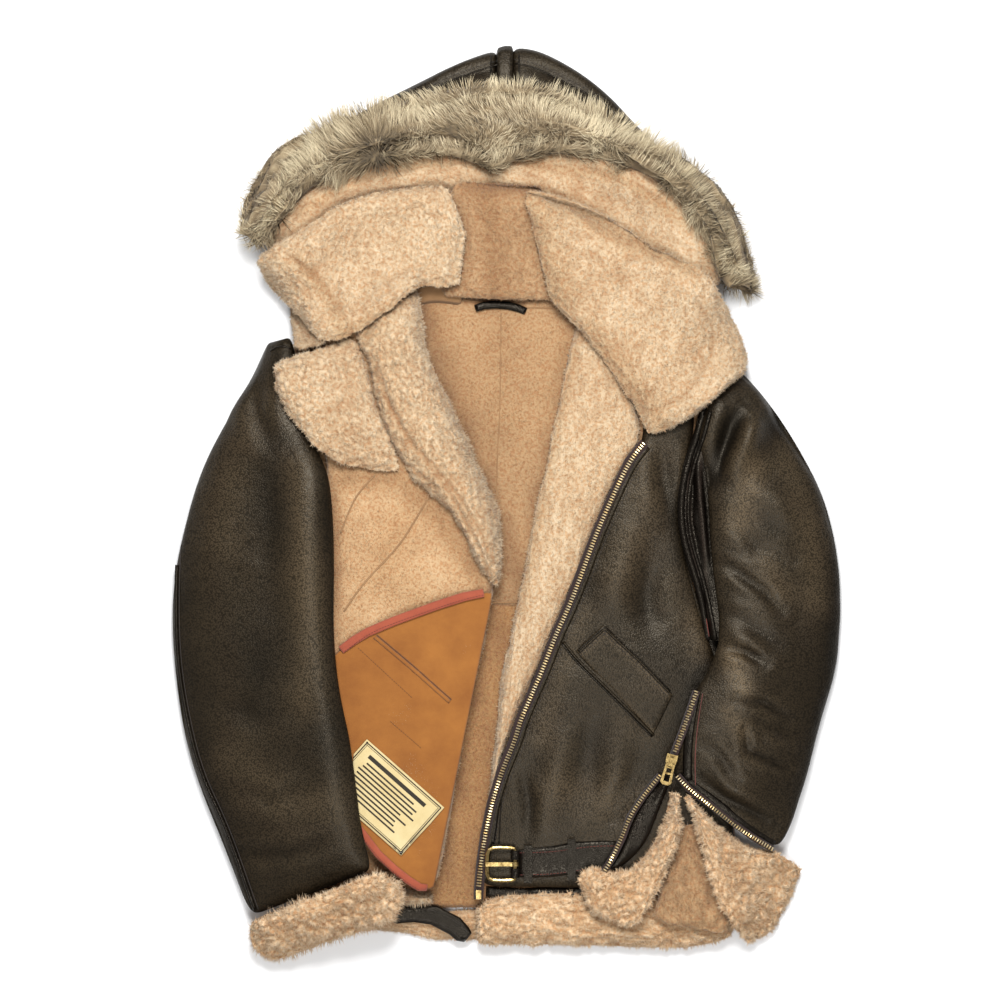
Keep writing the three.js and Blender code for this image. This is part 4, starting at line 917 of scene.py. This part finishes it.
row("welt_stitches_outer", ["pocket_welt"], [WELT_UPPER], 3.6, (2.4, 0.6, 0.5), THREAD_DARK,
    side=-0.8, soft=0)
ARMHOLE = photo((703, 410), (697, 434), (688, 460), (682, 486), (680, 516), (685, 547), (695, 576), (702, 604),
                (708, 640))
# A flat black strip laid as painted shadow in the gap at the underarm.
piping("armhole_lining", ["back_upper", "back_lower"], photo((702, 590), (708, 630), (716, 676)), 11, BLACK,
       0.5, 0.25)
ARM_PIECES = ["front_left", "underarm_gusset", "sleeve_right_top"]
piping("armhole_piping", ARM_PIECES, ARMHOLE, 3.2, BLACK, 1.4, 0.8)
piping("armhole_welt", ARM_PIECES, ARMHOLE, 2.2, BLACK, 1.0, 0.8, side=6.5)
piping("armhole_thread", ARM_PIECES, ARMHOLE[5:], 0.45, THREAD, 1.6, side=2.0)
SLEEVE_SEAM = photo((179, 545), (177, 600), (179, 662), (188, 718), (202, 772), (226, 822), (244, 872), (256, 908))
piping("sleeve_left_piping", ["sleeve_left_top"], SLEEVE_SEAM, 2.1, BLACK, 0.5)
piping("sleeve_left_thread", ["sleeve_left_top"], SLEEVE_SEAM, 0.45, THREAD_DARK, 0.3, side=3.2)
piping("shoulder_seam", ["sleeve_left_top"], photo((271, 352), (283, 346), (292, 350)), 1.0, BLACK, 0.2)
piping("sleeve_right_strip", ["sleeve_right_top", "front_left"], photo((694, 697), (689, 722), (686, 750), (686, 778)),
       5.0, BLACK, 0.3, 0.3)
piping("sleeve_right_thread", ["sleeve_right_top", "front_left"], photo((701, 692), (696, 722), (693, 752), (694, 790)),
       0.45, THREAD, 0.6)
# Hood: gusset seams and brim stitching.
HOODS = ["hood_left", "hood_gusset", "hood_right"]
piping("gusset_seam_left", HOODS, photo((491, 58), (491, 95)), 1.0, BLACK, 0.2)
piping("gusset_seam_right", HOODS, photo((519, 58), (519, 95)), 1.0, BLACK, 0.2)
BRIM = photo((425, 92), (450, 78), (480, 68), (497, 63))
BRIM_RIGHT = photo((516, 62), (537, 66), (557, 76), (580, 88), (605, 100), (622, 118))
row("brim_stitches", HOODS, [BRIM, BRIM_RIGHT], 4.0, (2.6, 0.6, 0.5), THREAD_DARK)
piping("brim_seam_left", HOODS, BRIM, 0.9, BLACK, 0.1, side=-4)
piping("brim_seam_right", HOODS, BRIM_RIGHT, 0.9, BLACK, 0.1, side=-4)
# Seams of the linings: a dark line where the clipped pile parts.
SEAM_SHADE = woven("pile_seam_shade", rgb(168, 128, 86), rgb(142, 104, 66), 900)
piping("back_centre_seam", ["back_upper"], BACK_CENTRE_SEAM, 0.8, SEAM_SHADE, -0.1, 0.5)
piping("back_cross_seam", ["back_upper", "back_lower"], BACK_CROSS_SEAM, 1.0, SEAM_SHADE, 0.1, 0.5)
piping("neck_seam", ["back_upper"], photo((463, 300), (521, 309), (555, 308)), 1.0, SEAM_SHADE, 0.2, 0.5)
piping("neck_join", ["back_upper"], photo((428, 303), (463, 305), (500, 309), (556, 309)), 13, SEAM_SHADE, -2.2, 0.08)
for k, line in enumerate(FRONT_SEAMS):
    piping(f"front_seam_{k}", ["front_right"], line, 0.9, SEAM_SHADE, 0.2, 0.5)
piping("neck_fold", ["hood_left", "hood_facing", "back_upper"], photo((406, 302), (424, 294), (440, 293), (462, 296)), 10,
       SEAM_SHADE, 0.2, 0.15)
# Map pocket: slot fold, stitched lines, binding stitches and the plain bars of its label.
SLOT = photo((376, 636), (413, 667), (433, 685), (450, 700))
piping("pen_slot_fold", ["map_pocket"], SLOT, 2.0, CANVAS, 0.5, 0.5)
# Painted shadow beside the pen slot's fold.
piping("pen_slot_shadow", ["map_pocket"], SLOT, 0.8, CANVAS_SHADOW_AND_STITCHES, 0.1, 0.5, side=2.6)
row("pocket_stitches", ["map_pocket"], [photo((361, 646), (413, 694)), photo((393, 719), (422, 744)), SLOT], 2.8,
    (1.9, 0.6, 0.4), CANVAS_SHADOW_AND_STITCHES, side=-1.8)
row("binding_stitches", ["binding_top", "binding_bottom"], [
    photo((345, 648), (369, 630), (396, 619), (436, 605), (464, 596), (482, 592)),
    photo((359, 824), (379, 851), (395, 866), (409, 877), (420, 884))], 3.0, (2.0, 0.5, 0.4), THREAD,
    side=-2.4)
LABEL_CORNER = np.array(photo((368, 737))[0])
LABEL_ALONG = np.array([77.0, -68.0]) / 102.7
LABEL_DOWN = np.array([-43.0, -48.0]) / 64.4


def on_label(*places):
    """Places on the label, in millimetres along and down from its top corner."""
    return [tuple(LABEL_CORNER + LABEL_ALONG * a + LABEL_DOWN * d) for a, d in places]


for k, inset in enumerate((2.6, 4.4)):
    frame_line = on_label((inset, inset), (102.7 - inset, inset), (102.7 - inset, 64.4 - inset), (inset, 64.4 - inset))
    row(f"label_border_{k}", ["label"], [frame_line + frame_line[:1]], 2.0, (2.2, 1.2 - 0.7 * k, 0.25), INK,
        soft=0)
bars = np.random.default_rng(5)
row("label_bars", ["label"], [on_label((13 + bars.uniform(0, 5), d), (88 - bars.uniform(0, 14), d)) for d in
                              (18, 22.2, 26.4, 30.6, 34.8, 39, 43.2, 47.4, 51.6)], 2.0, (2.2, 1.7, 0.25), INK,
    soft=0)
row("label_heading", ["label"], [on_label((14, 11.5), (86, 11.5))], 2.0, (2.2, 4.0, 0.25), INK, soft=0)
# Belt: stitching on the strap and on its tip.
STRAP = photo((521, 862), (554, 861), (578, 857), (598, 855), (614, 855))
row("belt_stitches_upper", ["belt_strap"], [STRAP], 3.2, (2.2, 0.6, 0.5), THREAD, side=11)
row("belt_stitches_lower", ["belt_strap"], [STRAP], 3.2, (2.2, 0.6, 0.5), THREAD, side=-11)
TIP = photo((380, 913), (397, 914), (414, 912), (434, 914), (455, 925), (463, 933))
row("belt_tip_stitches", ["belt_tip"], [TIP], 3.2, (2.2, 0.6, 0.5), THREAD_DARK, side=5)
row("belt_tip_stitches_lower", ["belt_tip"], [TIP], 3.2, (2.2, 0.6, 0.5), THREAD_DARK, side=-5)
row("hanger_stitches", ["hanger_loop"], [photo((478, 306), (496, 305), (510, 306), (524, 310))], 3.0, (2.0, 0.5, 0.4),
    THREAD_DARK)

# ---- painted shade: pile and leather lie darker where something higher stands beside it ----
grid = shifted(np.max(list(TOPS.values()), 0), False)


def spread(values, cells_wide):
    for axis in (0, 1):
        total = np.zeros_like(values)
        for k in range(-cells_wide, cells_wide + 1):
            total += np.roll(values, k, axis)
        values = total / (2 * cells_wide + 1)
    return values


around = [(spread(grid, 2), 8.0), (spread(grid, 7), 22.0)]
# Painted shade on pile that lies deeper or faces away, as the photograph shows it, and one painted lighter band: piece,
# line, width in mm and tint.
PAINTED_SHADE_AND_LIGHT = [
    ("collar_right", photo((530, 192), (536, 240), (556, 300)), 20, (0.78, 0.7, 0.6)),
    ("collar_right", photo((560, 205), (620, 240), (690, 272)), 9, (0.8, 0.72, 0.62)),
    ("collar_right", photo((590, 330), (640, 400), (660, 425)), 12, (0.86, 0.8, 0.72)),
    ("collar_left", photo((440, 298), (380, 318), (340, 345)), 9, (0.86, 0.8, 0.72)),
    ("collar_left", photo((300, 262), (330, 300), (345, 335)), 7, (0.86, 0.8, 0.72)),
    ("collar_back", photo((486, 190), (492, 240), (496, 295)), 15, (0.84, 0.77, 0.68)),
    ("collar_back", photo((532, 190), (538, 240), (552, 298)), 13, (1.2, 1.25, 1.32)),
    ("collar_back", photo((470, 188), (540, 188)), 9, (0.7, 0.6, 0.5)),
    ("hood_facing", photo((300, 215), (380, 168), (470, 160)), 6, (0.84, 0.76, 0.66)),
    ("hood_facing", photo((530, 165), (620, 180), (690, 230)), 6, (0.84, 0.76, 0.66)),
    ("front_right", photo((345, 480), (400, 480), (440, 520), (485, 590)), 9, (0.72, 0.64, 0.54)),
    ("front_right", photo((336, 500), (334, 600)), 7, (0.76, 0.68, 0.58)),
    ("front_right", photo((400, 530), (380, 580), (420, 600)), 20, (0.9, 0.85, 0.78)),
    ("lapel", photo((380, 360), (398, 415), (430, 465), (470, 520)), 16, (0.93, 0.88, 0.82)),
    ("lapel", photo((400, 300), (372, 335)), 10, (0.88, 0.82, 0.74)),
    ("wind_flap", photo((575, 350), (548, 470), (520, 610)), 6, (0.88, 0.82, 0.74)),
    ("wind_flap", photo((640, 445), (600, 520), (560, 620), (505, 740)), 6, (0.84, 0.76, 0.68)),
    ("back_upper", photo((430, 310), (470, 430), (500, 560)), 12, (0.8, 0.72, 0.62)),
    ("back_upper", photo((575, 345), (550, 470), (520, 600)), 9, (0.82, 0.74, 0.64)),
    ("back_upper", photo((500, 330), (500, 430)), 24, (0.93, 0.9, 0.86)),
]
for made in list(DRESSED.values()) + [pile.fibres for pile in PILES]:
    if "tone" in made.data.color_attributes:
        co, _ = arrays(made.data)
        where = spot(co)
        # Painted shade from the higher pieces close by.
        painted_shade = sum(np.clip((level[where] - co[:, 2]) / depth, 0, 1) for level, depth in around) / 2
        tone = np.zeros(len(co) * 4, np.float32)
        made.data.color_attributes["tone"].data.foreach_get("color", tone)
        tone = tone.reshape(-1, 4)
        tone[:, :3] *= np.array([0.56, 0.48, 0.4]) ** painted_shade[:, None]
        # Painted shade and painted light along the lines of the table.
        for node, line, width, tint in PAINTED_SHADE_AND_LIGHT:
            if made.name.rsplit("_", 1)[0] == node:
                d, _ = off_line(co, line)
                tone[:, :3] *= np.array(tint) ** np.exp(-(d / width) ** 2)[:, None]
        made.data.color_attributes["tone"].data.foreach_set("color", tone.ravel())

# ---- light and floor ----
floor_mesh = bpy.data.meshes.new("floor")
floor_mesh.from_pydata([(-4, -4, 0), (4, -4, 0), (4, 4, 0), (-4, 4, 0)], [], [(0, 1, 2, 3)])
floor = bpy.data.objects.new("floor", floor_mesh)
bpy.context.scene.collection.objects.link(floor)
floor.location.z = -0.0005
floor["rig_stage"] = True
white = Nodes("floor_white")
floor_mesh.materials.append(white.set(Base_Color=white.blend(white.noise(3, 2), (0.93, 0.93, 0.93), (0.95, 0.95, 0.95)),
                                      Roughness=0.9))


def area_light(name, place, size, power, aim=(0, 0, 0)):
    light = bpy.data.lights.new(name, "AREA")
    light.shape = "DISK"
    light.size = size
    light.energy = power
    made = bpy.data.objects.new(name, light)
    bpy.context.scene.collection.objects.link(made)
    made.location = place
    made.rotation_mode = "QUATERNION"
    made.rotation_quaternion = (Vector(place) - Vector(aim)).to_track_quat("Z", "Y")
    return made


area_light("key", (-0.05, 0.95, 1.9), 0.8, 52)
area_light("fill", (0.1, -1.0, 1.9), 0.8, 20)
world = bpy.data.worlds.new("world")
bpy.context.scene.world = world
world.use_nodes = True
world.node_tree.nodes["Background"].inputs["Color"].default_value = (1, 1, 1, 1)
world.node_tree.nodes["Background"].inputs["Strength"].default_value = 0.36

counts = {}
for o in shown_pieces():
    if "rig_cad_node" not in o:
        o.data.calc_loop_triangles()
        counts[o.name] = len(o.data.loop_triangles)
print("triangles added", sum(counts.values()), sorted(counts.items(), key=lambda item: -item[1])[:24])
